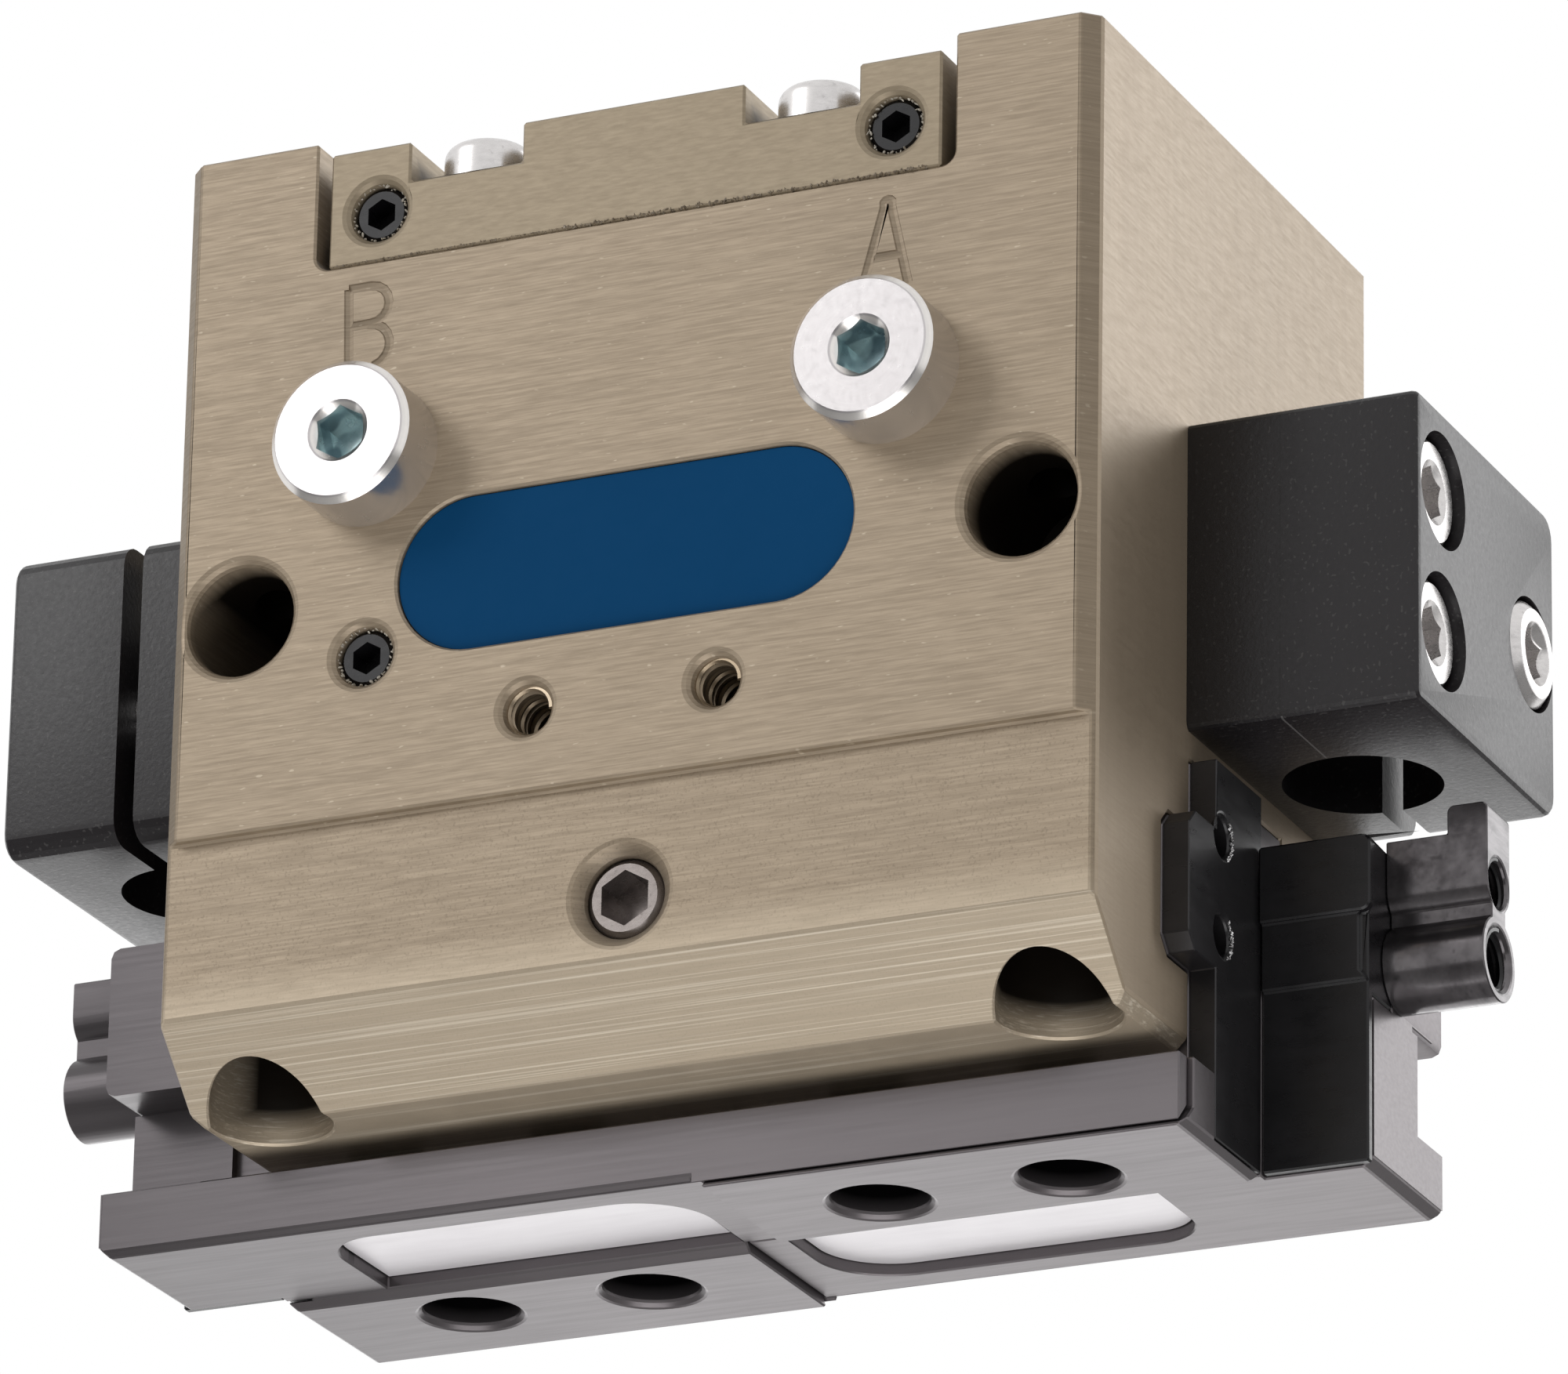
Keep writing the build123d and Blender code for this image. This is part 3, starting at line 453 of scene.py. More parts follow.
ANODISED = finish("tan_anodised_aluminium", rgb(173, 156, 134), rgb(141, 125, 104),
                  rgb(185, 169, 147), 0.4, (0.4, 0.5), (700, 900, 6800), cloud=300,
                  line_share=0.16, cloud_share=0.12, speck_share=0.1, bump=0.1, change=body_marks)
COVER = finish("tan_anodised_cover", rgb(164, 149, 126), rgb(134, 120, 98), rgb(176, 161, 138),
               0.4, (0.42, 0.5), (1200, 1200, 6800), cloud=400, line_share=0.14, cloud_share=0.1,
               speck_share=0.1, bump=0.08, change=cover_marks)
THREAD = finish("tan_anodised_thread", rgb(150, 134, 112), rgb(104, 90, 72), rgb(196, 180, 158),
                0.7, (0.25, 0.35), (600, 600, 600), line_share=0.3, speck_share=0.0, bump=0.05)
JAW_STEEL = finish("ground_jaw_steel", rgb(107, 102, 104), rgb(93, 88, 90), rgb(117, 112, 114),
                   0.7, (0.3, 0.38), (150, 3200, 5200), cloud=110, line_share=0.16, cloud_share=0.2,
                   speck_share=0.06, bump=0.05, change=jaw_marks)
# the jaw sheets are real parts; their near-white colour is a painted highlight for polished metal
SHEET_PAINTED_HIGHLIGHT = finish("bright_sheet", rgb(232, 228, 231), rgb(214, 210, 213), rgb(240, 237, 239),
                      0.2, (0.3, 0.42), (300, 2600, 300), line_share=0.15, speck_share=0.0,
                      bump=0.03)
CAM_STEEL = finish("blackened_cam_steel", rgb(92, 88, 90), rgb(38, 36, 38), rgb(150, 146, 148),
                   0.75, (0.16, 0.26), (2600, 300, 2600), cloud=500, line_share=0.55,
                   cloud_share=0.3, bump=0.16)
BLACK_STEEL = finish("blackened_steel", rgb(16, 15, 17), rgb(10, 10, 12), rgb(40, 38, 41), 0.2,
                     (0.24, 0.34), (500, 500, 1800), cloud=420, line_share=0.4, cloud_share=0.3,
                     bump=0.16, specular=0.4)
PLATE_STEEL = finish("satin_black_plate", rgb(40, 39, 41), rgb(22, 21, 23), rgb(62, 60, 62), 0.3,
                     (0.26, 0.36), (500, 500, 1800), cloud=420, line_share=0.4, cloud_share=0.3,
                     bump=0.16, specular=0.5)
BRACKET = finish("black_grained_plastic", rgb(38, 35, 37), rgb(24, 22, 24), rgb(52, 49, 51), 0.0,
                 (0.28, 0.36), (3400, 3400, 3400), cloud=160, speck=5200, line_share=0.4,
                 cloud_share=0.15, bump=0.35, depth=0.00005, specular=0.35, change=bracket_marks)
STOP_ZINC = finish("worn_zinc_screw", rgb(126, 118, 115), rgb(78, 72, 69), rgb(158, 151, 147), 0.85,
                   (0.2, 0.3), (1800, 1800, 4200), cloud=600, line_share=0.35, bump=0.15)
ZINC = finish("zinc_plated_steel", rgb(220, 217, 216), rgb(160, 157, 156), rgb(236, 233, 231), 0.85,
              (0.2, 0.32), (1800, 1800, 4200), cloud=500, line_share=0.35, bump=0.12)
PLUG_ZINC = finish("bright_zinc_plug", rgb(232, 228, 224), rgb(206, 202, 198), rgb(240, 236, 232),
                   0.85, (0.18, 0.28), (2600, 700, 2600), cloud=500, line_share=0.2,
                   speck_share=0.0, bump=0.05, change=plug_marks)
LABEL_BLUE = finish("blue_label_sheet", rgb(17, 81, 131), rgb(14, 77, 126), rgb(19, 84, 135), 0.0,
                    (0.5, 0.56), (900, 900, 900), cloud=200, speck=5200, line_share=0.2,
                    cloud_share=0.2, speck_share=0.05, bump=0.02, specular=0.04)
SEAL = finish("black_seal_rubber", rgb(32, 32, 34), rgb(22, 22, 24), rgb(44, 44, 46), 0.0,
              (0.6, 0.75), (1500, 1500, 1500), bump=0.2)
PISTON = finish("turned_piston_aluminium", rgb(196, 194, 191), rgb(160, 158, 156),
                rgb(212, 210, 207), 0.8, (0.25, 0.4), (900, 900, 4800), bump=0.12)
WEDGE = finish("hardened_wedge_steel", rgb(130, 127, 126), rgb(100, 97, 96), rgb(150, 147, 146),
               0.8, (0.22, 0.34), (2500, 300, 2500), bump=0.12)
FLAKES = finish("pale_thread_sealant", rgb(196, 188, 172), rgb(120, 108, 90), rgb(230, 226, 218),
                0.1, (0.3, 0.5), (1500, 1500, 1500), bump=0.1)
JOINT_CRUMBS = finish("brown_joint_sealant", rgb(112, 96, 76), rgb(52, 42, 30), rgb(196, 182, 160),
                      0.1, (0.3, 0.5), (1500, 1500, 1500), cloud=2600, bump=0.1)
BURRS = finish("bright_cut_steel", rgb(206, 204, 204), rgb(120, 118, 120), rgb(240, 240, 240), 0.9,
               (0.25, 0.4), (2600, 2600, 2600), cloud=2200, line_share=0.6, bump=0.3)


# Port letters, cut into the front

def arc(cx, cz, radius, start, end, steps=8):
    """Points on an arc in the front face, in millimetres and degrees."""
    angles = [math.radians(start + (end - start) * k / steps) for k in range(steps + 1)]
    return [(cx + radius * math.cos(a), cz + radius * math.sin(a)) for a in angles]


def engraving_tool(stroke, radius=0.34, lift=0.2):
    """A round cutter that runs along a stroke, so deep that it leaves a groove 0.55 mm wide."""
    line = bpy.data.curves.new("letter_strokes", "CURVE")
    line.dimensions = "3D"
    line.bevel_depth = radius * MM
    line.bevel_resolution = 3
    line.use_fill_caps = True
    spline = line.splines.new("POLY")
    spline.points.add(len(stroke) - 1)
    for point, (x, z) in zip(spline.points, stroke):
        point.co = (x * MM, (FRONT - lift) * MM, z * MM, 1)
    holder = bpy.data.objects.new("letter_strokes", line)
    bpy.context.scene.collection.objects.link(holder)
    mesh = evaluated_mesh(holder)
    bpy.data.objects.remove(holder)
    work = bmesh.new()
    work.from_mesh(mesh)
    bmesh.ops.remove_doubles(work, verts=work.verts, dist=0.0000005)
    bmesh.ops.recalc_face_normals(work, faces=work.faces)
    work.to_mesh(mesh)
    work.free()
    tool = bpy.data.objects.new("engraving_tool", mesh)
    bpy.context.scene.collection.objects.link(tool)
    return tool


def evaluated_mesh(holder):
    """The mesh that an object's modifiers or curves make, as plain data."""
    return bpy.data.meshes.new_from_object(holder.evaluated_get(
        bpy.context.evaluated_depsgraph_get()))


def make_plain(piece):
    """Put the result of a piece's modifiers in place of its mesh."""
    mesh = evaluated_mesh(piece)
    piece.modifiers.clear()
    piece.data = mesh


def cut(piece, tool):
    """Cut a tool out of a piece, and throw the tool away."""
    change = piece.modifiers.new("cut", "BOOLEAN")
    change.operation = "DIFFERENCE"
    change.solver = "MANIFOLD"
    change.object = tool
    make_plain(piece)
    bpy.data.objects.remove(tool)


PORT_B = [
    [(-15.55, -8.3), (-15.4, -13.0)],
    [(-15.55, -8.3), (-14.4, -8.3)] + arc(-14.3, -9.32, 1.02, 90, -90) + [(-15.5, -10.36)],
    [(-14.4, -10.36)] + arc(-14.35, -11.55, 1.17, 90, -75),
]
PORT_A = [
    [(12.6, -13.0), (13.75, -8.75)] + arc(13.95, -8.6, 0.25, 150, 30, 4)
    + [(14.15, -8.75), (15.1, -13.0)],
    [(13.2, -11.35), (14.7, -11.35)],
]


# Pieces taken over from the CAD model, with their edges broken

def set_material(obj, material):
    """Give an object one material."""
    obj.data.materials.clear()
    obj.data.materials.append(material)


def broken_edges(node, body, material, width, strokes=(), reshape=None):
    """A copy of a CAD piece with a fine chamfer on its sharp edges, which stands for the piece.

    reshape(work) may move its points first. Strokes are cut in, and their edges stay sharp.
    """
    sharp = math.radians(28.0)
    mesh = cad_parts[node].data.copy()
    mesh.name = node + "_finished"
    piece = bpy.data.objects.new(node + "_finished", mesh)
    bpy.context.scene.collection.objects.link(piece)
    work = bmesh.new()
    work.from_mesh(mesh)
    bmesh.ops.remove_doubles(work, verts=work.verts, dist=0.000002)
    if reshape:
        reshape(work)
    weight = work.edges.layers.float.new("bevel_weight_edge")
    for edge in work.edges:
        edge[weight] = float(edge.is_manifold and edge.calc_face_angle(0.0) > sharp)
    work.to_mesh(mesh)
    work.free()
    for stroke in strokes:
        cut(piece, engraving_tool(stroke))
    bevel = piece.modifiers.new("broken edges", "BEVEL")
    bevel.width = width * MM
    bevel.segments = 1
    bevel.limit_method = "WEIGHT"
    bevel.use_clamp_overlap = False
    bevel.loop_slide = False
    make_plain(piece)
    stand_in(piece, node, body, material)


def stand_in(piece, node, body, material):
    """Let a finished piece stand for a CAD piece."""
    piece.data.name = node + "_finished"
    smooth_curves(piece.data)
    set_material(piece, material)
    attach(piece, body)
    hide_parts(node)


def shift(work, where, by):
    """Move the points that where(x, y, z) picks, all in millimetres."""
    for vert in work.verts:
        if where(*(vert.co / MM)):
            vert.co += Vector(by) * MM


def cut_off(work, point, outward):
    """Cut away what lies beyond a plane, and close the cut."""
    result = bmesh.ops.bisect_plane(work, geom=work.verts[:] + work.edges[:] + work.faces[:],
                                    dist=0.0000001, plane_co=Vector(point) * MM,
                                    plane_no=Vector(outward), clear_outer=True)
    rim = [item for item in result["geom_cut"] if isinstance(item, bmesh.types.BMEdge)]
    bmesh.ops.holes_fill(work, edges=rim, sides=0)


def cylinder(start, direction, radius, length, sides=64):
    """A round tool from a point along a direction."""
    work = bmesh.new()
    bmesh.ops.create_cone(work, cap_ends=True, segments=sides, radius1=radius * MM,
                          radius2=radius * MM, depth=length * MM)
    turn = Vector((0, 0, 1)).rotation_difference(Vector(direction)).to_matrix().to_4x4()
    middle = Vector(start) + Vector(direction) * length / 2
    work.transform(Matrix.Translation(middle * MM) @ turn)
    return as_object("tool", work)


def box(low, high):
    """A box between two corners, open for more work."""
    work = bmesh.new()
    bmesh.ops.create_cube(work, size=1.0)
    for vert in work.verts:
        vert.co = Vector([(a if c < 0 else b) * MM for a, b, c in zip(low, high, vert.co)])
    return work


def as_object(name, work):
    """A scene object from a bmesh, which is used up."""
    mesh = bpy.data.meshes.new(name)
    work.to_mesh(mesh)
    work.free()
    piece = bpy.data.objects.new(name, mesh)
    bpy.context.scene.collection.objects.link(piece)
    return piece


def round_edges(work, where, radius, segments):
    """Round the edges whose middle where(x, y, z) picks."""
    edges = [edge for edge in work.edges
             if where(*((edge.verts[0].co + edge.verts[1].co) / 2 / MM))]
    bmesh.ops.bevel(work, geom=edges, offset=radius * MM, segments=segments, profile=0.5,
                    affect="EDGES")


def make_bracket(side, sign):
    """The sensor bracket: small radii in front, a large one behind, and open bores."""
    (x0, y0, _), (x1, y1, z1) = BRACKET_LOW, BRACKET_HIGH
    work = box(BRACKET_LOW, BRACKET_HIGH)
    round_edges(work, lambda x, y, z: abs(y - y1) < 0.01 and x0 + 1 < x < x1 - 1, 1.3, 5)
    round_edges(work, lambda x, y, z: abs(y - y0) < 0.01 and x0 + 1 < x < x1 - 1, 0.5, 4)
    round_edges(work, lambda x, y, z: x > x1 - 0.01, 0.4, 3)
    round_edges(work, lambda x, y, z: x < x0 + 0.01 and 2 < y < 4, 1.0, 4)
    bmesh.ops.recalc_face_normals(work, faces=work.faces)
    piece = as_object(side + "_sensor_bracket_finished", work)
    cut(piece, cylinder((SENSOR_X, SENSOR_Y, z1 + 2.4), (0, 0, -1), 4.0, 20, 96))
    cut(piece, as_object("slit", box((SENSOR_X - 0.55, SENSOR_Y, -40), (SENSOR_X + 0.55, 20, -10))))
    for z in BRACKET_SCREWS_Z:
        cut(piece, cylinder((33.6, BRACKET_SCREW_Y, z), (1, 0, 0), 2.98, 6))
        cut(piece, cylinder((20, BRACKET_SCREW_Y, z), (1, 0, 0), 1.7, 15))
    cut(piece, cylinder((34.4, CLAMP_SCREW_Y, CLAMP_SCREW_Z), (1, 0, 0), 2.95, 6))
    cut(piece, cylinder((26.1, CLAMP_SCREW_Y, CLAMP_SCREW_Z), (1, 0, 0), 1.45, 9))
    if sign < 0:
        piece.data.transform(Matrix.Rotation(math.pi, 4, "Z"))
    stand_in(piece, side + "_sensor_bracket", BODY, BRACKET)


def make_cover_screws():
    """The four cover screws, with heads that are rounded at the top."""
    head_r, height = 2.25, SCREW_TOP - SCREW_SEAT
    meshes = []
    for y in (-SCREW_Y, SCREW_Y):
        for x in (-SCREW_X, SCREW_X):
            work = bmesh.new()
            bmesh.ops.create_cone(work, cap_ends=True, segments=48, radius1=head_r * MM,
                                  radius2=head_r * MM, depth=height * MM)
            work.transform(Matrix.Translation(Vector((x, y, SCREW_SEAT + height / 2)) * MM))
            round_edges(work, lambda i, j, z: z > SCREW_TOP - 0.01, 0.7, 5)
            head = as_object("screw_head", work)
            cut(head, cylinder((x, y, SCREW_TOP - 1.15), (0, 0, 1), 1.155, 3, 6))
            shank = cylinder((x, y, SCREW_SEAT + 0.05), (0, 0, -1), 1.2, 11.5, 24)
            for part in (head, shank):
                meshes.append(part.data)
                bpy.data.objects.remove(part)
    piece = joined("cover_screws_finished", meshes, BODY, ZINC, 24.0)
    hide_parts("cover_screws")


def fit_clamp_screws(work):
    """The clamp screws stand out less than in the CAD model and lie a little lower."""
    shift(work, lambda x, y, z: x > 0, (-0.5, -0.25, -0.5))
    shift(work, lambda x, y, z: x < 0, (0.5, 0.25, -0.5))


def fit_jaw(sign):
    """The pocket and the end plate's seat lie nearer to the middle than in the CAD model."""
    def in_pocket_end(x, y, z):
        return 17.5 < x * sign < 22.2 and 0 < y * sign < 7.8 and -54.7 < z < -53.5

    def reshape(work):
        shift(work, lambda x, y, z: 25.3 < x * sign < 25.5, (-0.4 * sign, 0, 0))
        shift(work, in_pocket_end, (-1.2 * sign, 0, 0))
    return reshape


def add_tail(side, body, sign):
    """The square outer end of a jaw's rear half, in three blocks that lie on each other."""
    x0, x1 = JAW_SPLIT + 0.05, JAW_END + 0.04
    head = box((x0, 3.1, -46.15), (x1, 9.5, -38.3))
    head.edges.ensure_lookup_table()
    round_edges(head, lambda x, y, z: x > JAW_END - 0.1 and abs(y - 6.3) < 0.1, 0.5, 2)
    leg = box((x0, 0.57, -51.33), (x1, 6.3, -46.15))
    foot = box((x0, 0.57, -54.12), (x1, 9.57, -51.33))
    meshes = []
    for work in (head, leg, foot):
        bmesh.ops.recalc_face_normals(work, faces=work.faces)
        piece = as_object(side + "_tail_block", work)
        meshes.append(piece.data)
        bpy.data.objects.remove(piece)
    tail = joined(side + "_jaw_tail", meshes, body, JAW_STEEL)
    if sign < 0:
        tail.data.transform(Matrix.Rotation(math.pi, 4, "Z"))


def fit_end_plate(sign):
    """The plate's two small holes lie further out and higher, and it reaches the body."""
    def reshape(work):
        shift(work, lambda x, y, z: x * sign < 25.6, (-0.4 * sign, 0, 0))
        for hole_z in PLATE_HOLES_Z:
            shift(work, lambda x, y, z: math.hypot(y * sign + 4.5, z - hole_z) < 1.4,
                  (0, -0.4 * sign, PLATE_RISE))
    return reshape


def fit_left_cam(work):
    """The left control cam has no tab and ends earlier, and its low barrel lies deeper."""
    cut_off(work, (0, 0, -38.1), (0, 0, 1))
    cut_off(work, (-36.45, 0, 0), (-1, 0, 0))
    shift(work, lambda x, y, z: z < -41.6, (0, 0, -0.3))


def smooth_curves(mesh, angle=17.0):
    """Smooth shading on curved faces, with every edge over the angle left crisp."""
    work = bmesh.new()
    work.from_mesh(mesh)
    for face in work.faces:
        face.smooth = True
    for edge in work.edges:
        edge.smooth = edge.is_manifold and edge.calc_face_angle(0.0) < math.radians(angle)
    work.to_mesh(mesh)
    work.free()


# Small repeated things, made with Geometry Nodes

def node_tree(name, sockets):
    """A Geometry Nodes tree with named inputs, and its two end nodes."""
    tree = bpy.data.node_groups.new(name, "GeometryNodeTree")
    tree.interface.new_socket(name="Geometry", in_out="OUTPUT", socket_type="NodeSocketGeometry")
    for label, kind in sockets:
        tree.interface.new_socket(name=label, in_out="INPUT", socket_type=kind)
    return tree, tree.nodes.new("NodeGroupInput"), tree.nodes.new("NodeGroupOutput")


def grown(name, tree, values, place, direction):
    """The plain mesh that a tree makes, turned so that its Z points along direction."""
    holder = bpy.data.objects.new(name, bpy.data.meshes.new(name))
    bpy.context.scene.collection.objects.link(holder)
    grow = holder.modifiers.new("grow", "NODES")
    grow.node_group = tree
    for item in tree.interface.items_tree:
        if item.in_out == "INPUT" and item.name in values:
            grow[item.identifier] = values[item.name]
    mesh = evaluated_mesh(holder)
    bpy.data.objects.remove(holder)
    turn = Vector((0, 0, 1)).rotation_difference(Vector(direction)).to_matrix().to_4x4()
    mesh.transform(Matrix.Translation(Vector(place) * MM) @ turn)
    return mesh


def joined(name, meshes, body, material, smooth=35.0):
    """One piece from several meshes, riding on a body."""
    work = bmesh.new()
    for mesh in meshes:
        work.from_mesh(mesh)
    mesh = bpy.data.meshes.new(name)
    work.to_mesh(mesh)
    work.free()
    piece = bpy.data.objects.new(name, mesh)
    bpy.context.scene.collection.objects.link(piece)
    smooth_curves(mesh, smooth)
    set_material(piece, material)
    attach(piece, body)
    return piece


def thread_tree():
    """A helical thread ridge: a six-sided profile along a spiral up the Z axis."""
    tree, start, end = node_tree("screw thread", [
        ("Radius", "NodeSocketFloat"), ("Turns", "NodeSocketFloat"), ("Depth", "NodeSocketFloat"),
        ("Ridge", "NodeSocketFloat"), ("Finish", "NodeSocketMaterial")])
    spiral = tree.nodes.new("GeometryNodeCurveSpiral")
    spiral.inputs["Resolution"].default_value = 28
    for label, source in (("Rotations", "Turns"), ("Start Radius", "Radius"),
                          ("End Radius", "Radius"), ("Height", "Depth")):
        tree.links.new(start.outputs[source], spiral.inputs[label])
    profile = tree.nodes.new("GeometryNodeCurvePrimitiveCircle")
    profile.inputs["Resolution"].default_value = 6
    tree.links.new(start.outputs["Ridge"], profile.inputs["Radius"])
    tube = tree.nodes.new("GeometryNodeCurveToMesh")
    tube.inputs["Fill Caps"].default_value = True
    tree.links.new(spiral.outputs[0], tube.inputs["Curve"])
    tree.links.new(profile.outputs["Curve"], tube.inputs["Profile Curve"])
    realize = tree.nodes.new("GeometryNodeRealizeInstances")
    paint = tree.nodes.new("GeometryNodeSetMaterial")
    tree.links.new(tube.outputs[0], realize.inputs[0])
    tree.links.new(realize.outputs[0], paint.inputs["Geometry"])
    tree.links.new(start.outputs["Finish"], paint.inputs["Material"])
    tree.links.new(paint.outputs[0], end.inputs[0])
    return tree


def crumb_tree():
    """Small uneven crumbs scattered along a line or a ring."""
    tree, start, end = node_tree("crumbs", [
        ("Count", "NodeSocketInt"), ("Length", "NodeSocketFloat"), ("Radius", "NodeSocketFloat"),
        ("Ring", "NodeSocketBool"), ("Start Angle", "NodeSocketFloat"),
        ("Sweep Angle", "NodeSocketFloat"), ("Scatter", "NodeSocketFloat"),
        ("Crumb Size", "NodeSocketFloat"), ("Finish", "NodeSocketMaterial"),
        ("Seed", "NodeSocketInt")])
    line = tree.nodes.new("GeometryNodeCurvePrimitiveLine")
    far = tree.nodes.new("ShaderNodeCombineXYZ")
    tree.links.new(start.outputs["Length"], far.inputs["X"])
    tree.links.new(far.outputs[0], line.inputs["End"])
    circle = tree.nodes.new("GeometryNodeCurveArc")
    circle.inputs["Resolution"].default_value = 32
    for label in ("Radius", "Start Angle", "Sweep Angle"):
        tree.links.new(start.outputs[label], circle.inputs[label])
    choose = tree.nodes.new("GeometryNodeSwitch")
    choose.input_type = "GEOMETRY"
    tree.links.new(start.outputs["Ring"], choose.inputs["Switch"])
    tree.links.new(line.outputs[0], choose.inputs["False"])
    tree.links.new(circle.outputs[0], choose.inputs["True"])
    points = tree.nodes.new("GeometryNodeCurveToPoints")
    tree.links.new(choose.outputs[0], points.inputs["Curve"])
    tree.links.new(start.outputs["Count"], points.inputs["Count"])

    def chance(low, high, offset):
        """A random vector for each point, with a seed of its own."""
        node = tree.nodes.new("FunctionNodeRandomValue")
        node.data_type = "FLOAT_VECTOR"
        node.inputs[0].default_value = low
        node.inputs[1].default_value = high
        tree.links.new(maths(tree, "ADD", start.outputs["Seed"], offset), node.inputs["Seed"])
        return node.outputs[0]

    scatter = tree.nodes.new("ShaderNodeVectorMath")
    scatter.operation = "SCALE"
    tree.links.new(chance((-1, -1, -0.3), (1, 1, 0.3), 1), scatter.inputs[0])
    tree.links.new(start.outputs["Scatter"], scatter.inputs["Scale"])
    moved = tree.nodes.new("GeometryNodeSetPosition")
    tree.links.new(points.outputs["Points"], moved.inputs["Geometry"])
    tree.links.new(scatter.outputs[0], moved.inputs["Offset"])
    crumb = tree.nodes.new("GeometryNodeMeshIcoSphere")
    crumb.inputs["Subdivisions"].default_value = 1
    tree.links.new(start.outputs["Crumb Size"], crumb.inputs["Radius"])
    place = tree.nodes.new("GeometryNodeInstanceOnPoints")
    tree.links.new(moved.outputs[0], place.inputs["Points"])
    tree.links.new(crumb.outputs[0], place.inputs["Instance"])
    tree.links.new(chance((0, 0, 0), (6.28, 6.28, 6.28), 2), place.inputs["Rotation"])
    tree.links.new(chance((0.3, 0.3, 0.3), (1.5, 0.9, 0.7), 3), place.inputs["Scale"])
    realize = tree.nodes.new("GeometryNodeRealizeInstances")
    paint = tree.nodes.new("GeometryNodeSetMaterial")
    tree.links.new(place.outputs[0], realize.inputs[0])
    tree.links.new(realize.outputs[0], paint.inputs["Geometry"])
    tree.links.new(start.outputs["Finish"], paint.inputs["Material"])
    tree.links.new(paint.outputs[0], end.inputs[0])
    return tree


def add_threads():
    """Thread ridges in the two face holes and in the holes of the two control cams."""
    tree = thread_tree()

    def thread(place, direction, radius, depth, pitch, material, ridge=0.17):
        return grown("thread", tree, {"Radius": radius * MM, "Turns": depth / pitch,
                                      "Depth": depth * MM, "Ridge": ridge * MM, "Finish": material},
                     place, direction)

    joined("face_hole_threads",
           [thread((x, FRONT + 0.45, FACE_HOLE_Z), (0, 1, 0), 1.24, 5.2, 0.5, THREAD)
            for x in (-FACE_HOLE_X, FACE_HOLE_X)], BODY, THREAD)
    cam_threads = {RIGHT: ("right", 1, 37.15, -43.7), LEFT: ("left", -1, 36.3, -44.0)}
    for body, (side, sign, end, low) in cam_threads.items():
        inward = (-sign, 0, 0)
        meshes = [thread((sign * end, sign * CAM_Y, low), inward, 1.48, 4.0, 0.5, BLACK_STEEL),
                  thread((sign * end, sign * CAM_Y, CAM_HIGH_Z), inward, 1.24, 4.0, 0.45,
                         BLACK_STEEL, 0.14)]
        joined(side + "_cam_threads", meshes, body, BLACK_STEEL)


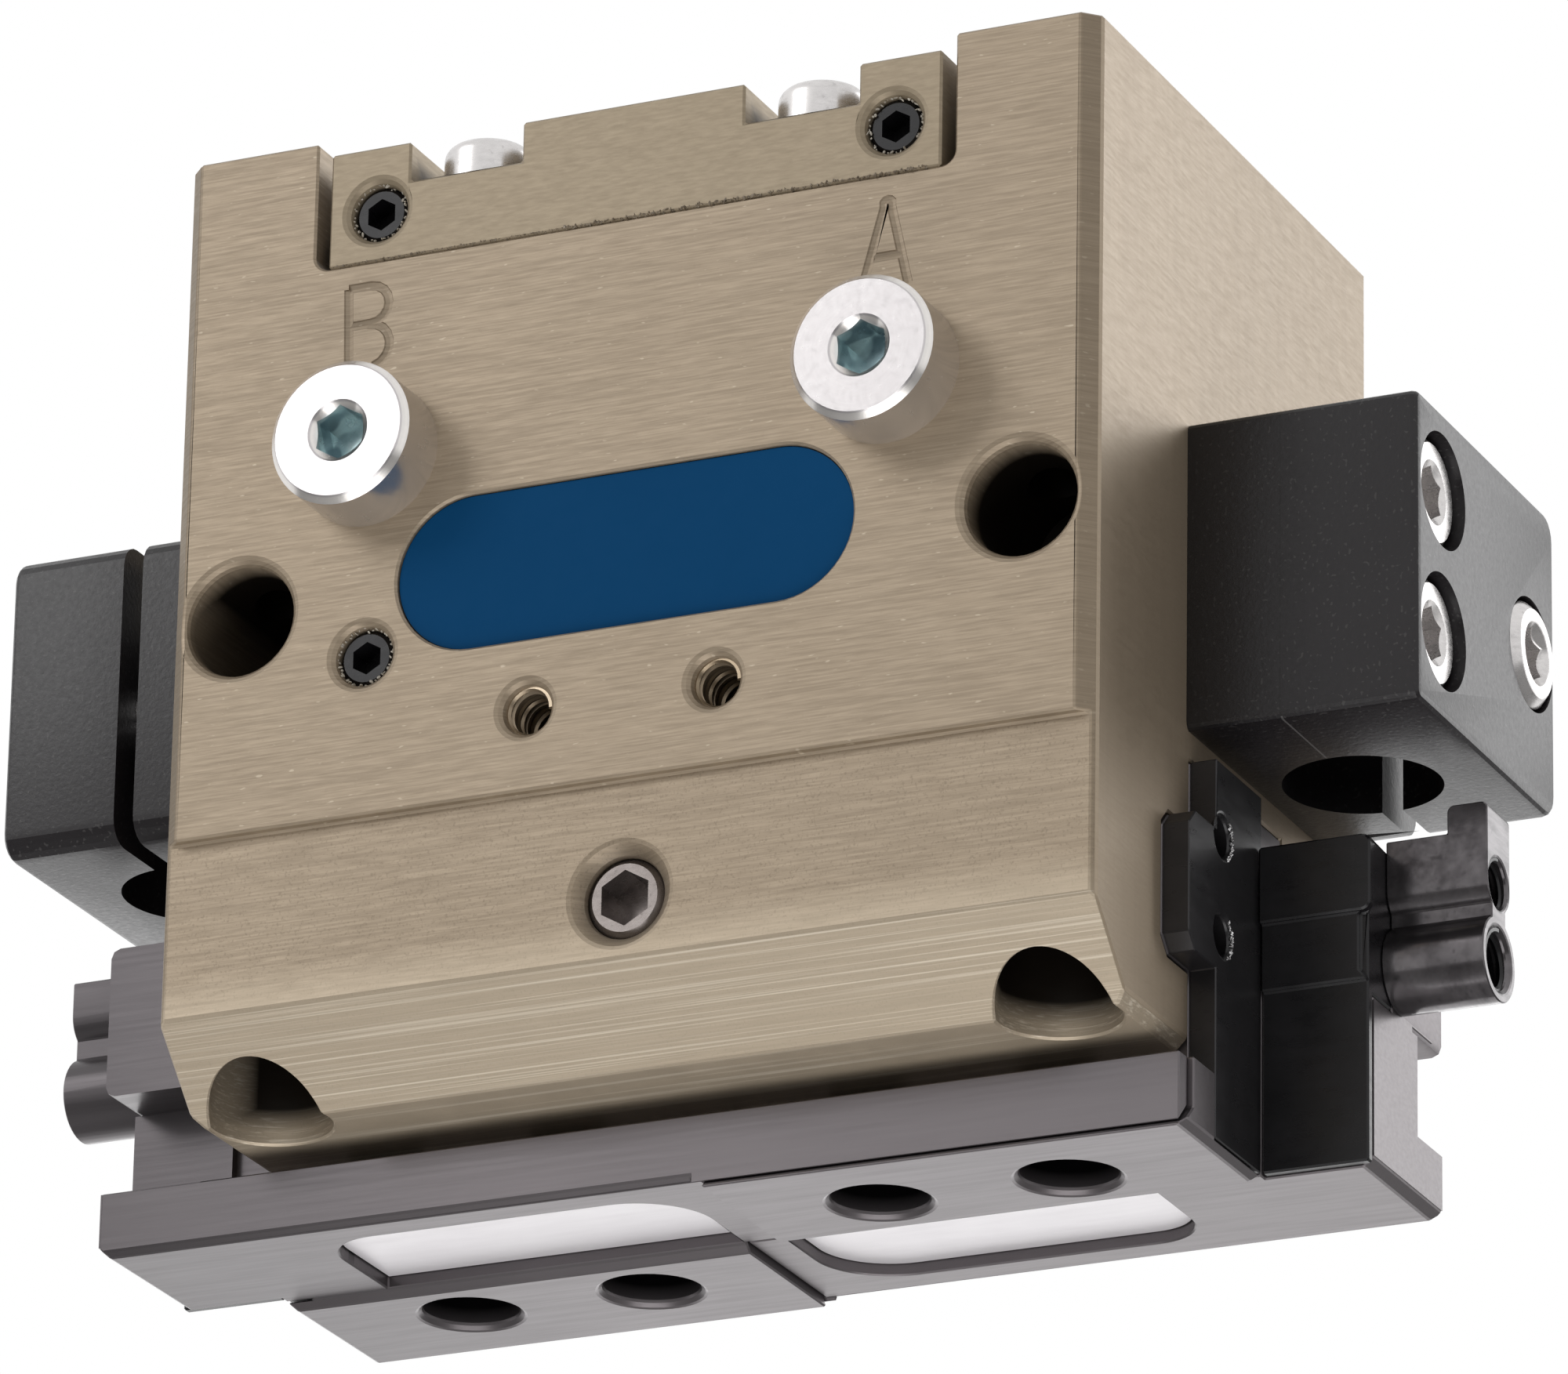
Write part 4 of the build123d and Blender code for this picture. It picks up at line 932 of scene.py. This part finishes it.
def add_crumbs():
    """Sealant round the channel plugs and in the joint under the cover, and plate burrs."""
    tree = crumb_tree()

    def crumbs(place, direction, count, size, seed, material, length=0.0, radius=0.0, scatter=0.06,
               turn=(0.0, 6.283)):
        """Crumbs in a ring where there is a radius, and otherwise along a line."""
        return grown("crumbs", tree, {"Count": count, "Length": length * MM, "Radius": radius * MM,
                                      "Ring": radius > 0, "Scatter": scatter * MM,
                                      "Start Angle": turn[0], "Sweep Angle": turn[1],
                                      "Crumb Size": size * MM, "Finish": material, "Seed": seed},
                     place, direction)

    channel_plugs = ((-14.1, -4.25), (14.1, -4.25), (-14.1, -28.15))
    rings = [crumbs((x, FRONT + 0.4, z), (0, 1, 0), 46, 0.11, seed, FLAKES, radius=1.46,
                    scatter=0.12)
             for seed, (x, z) in enumerate(channel_plugs)]
    joined("plug_sealant", rings, BODY, FLAKES)
    spans = ((-16.4, 12.6, 90, 0.075), (-3.6, 7.5, 80, 0.11), (4.4, 11.6, 120, 0.11))
    seam = [crumbs((x, FRONT, JOINT_Z), (0, 0, 1), count, size, 7 + k, JOINT_CRUMBS, length=span,
                   scatter=size * 1.2)
            for k, (x, span, count, size) in enumerate(spans)]
    joined("joint_sealant", seam, BODY, JOINT_CRUMBS)
    for body, side, sign in ((RIGHT, "right", 1), (LEFT, "left", -1)):
        burrs = [crumbs((sign * (JAW_SPLIT - 0.02), sign * -4.9, z + PLATE_RISE), (sign, 0, 0), 46,
                        0.09, 31 + k, BURRS, radius=1.14, scatter=0.09,
                        turn=(0.5 if sign > 0 else 3.6, 2.0))
                 for k, z in enumerate(PLATE_HOLES_Z)]
        joined(side + "_plate_burrs", burrs, body, BURRS)


aim_camera()
light_the_studio()
lay_the_floor()

BODY, RIGHT, LEFT = "gripper_body", "jaw_right", "jaw_left"
broken_edges("housing", BODY, ANODISED, 0.12, strokes=PORT_A + PORT_B)
broken_edges("cover_plate", BODY, COVER, 0.12)
for side, body, sign in (("right", RIGHT, 1), ("left", LEFT, -1)):
    make_bracket(side, sign)
    broken_edges(side + "_jaw", body, JAW_STEEL, 0.08, reshape=fit_jaw(sign))
    broken_edges(side + "_jaw_sheet", body, SHEET_PAINTED_HIGHLIGHT, 0.02,
                 reshape=fit_jaw(sign))
    add_tail(side, body, sign)
    broken_edges(side + "_end_plate", body, PLATE_STEEL, 0.06,
                 reshape=fit_end_plate(sign))
    broken_edges(side + "_cam_block", body, BLACK_STEEL, 0.1)
broken_edges("right_control_cam", RIGHT, CAM_STEEL, 0.06)
broken_edges("left_control_cam", LEFT, JAW_STEEL, 0.06, reshape=fit_left_cam)
make_cover_screws()
broken_edges("clamp_screws", BODY, ZINC, 0.04, reshape=fit_clamp_screws)
add_threads()
add_crumbs()

PLAIN_NODES = {
    "port_plug_left": PLUG_ZINC, "port_plug_right": PLUG_ZINC,
    "channel_plugs": BLACK_STEEL, "stop_screw": STOP_ZINC, "label_plate": LABEL_BLUE,
    "rod_seal": SEAL, "cover_seal": SEAL, "piston_seal": SEAL, "piston": PISTON,
    "piston_screw": ZINC, "wedge_hook": WEDGE, "bracket_screws": ZINC,
}
for node, material in PLAIN_NODES.items():
    set_material(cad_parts[node], material)

bpy.context.scene.view_settings.view_transform = "Standard"
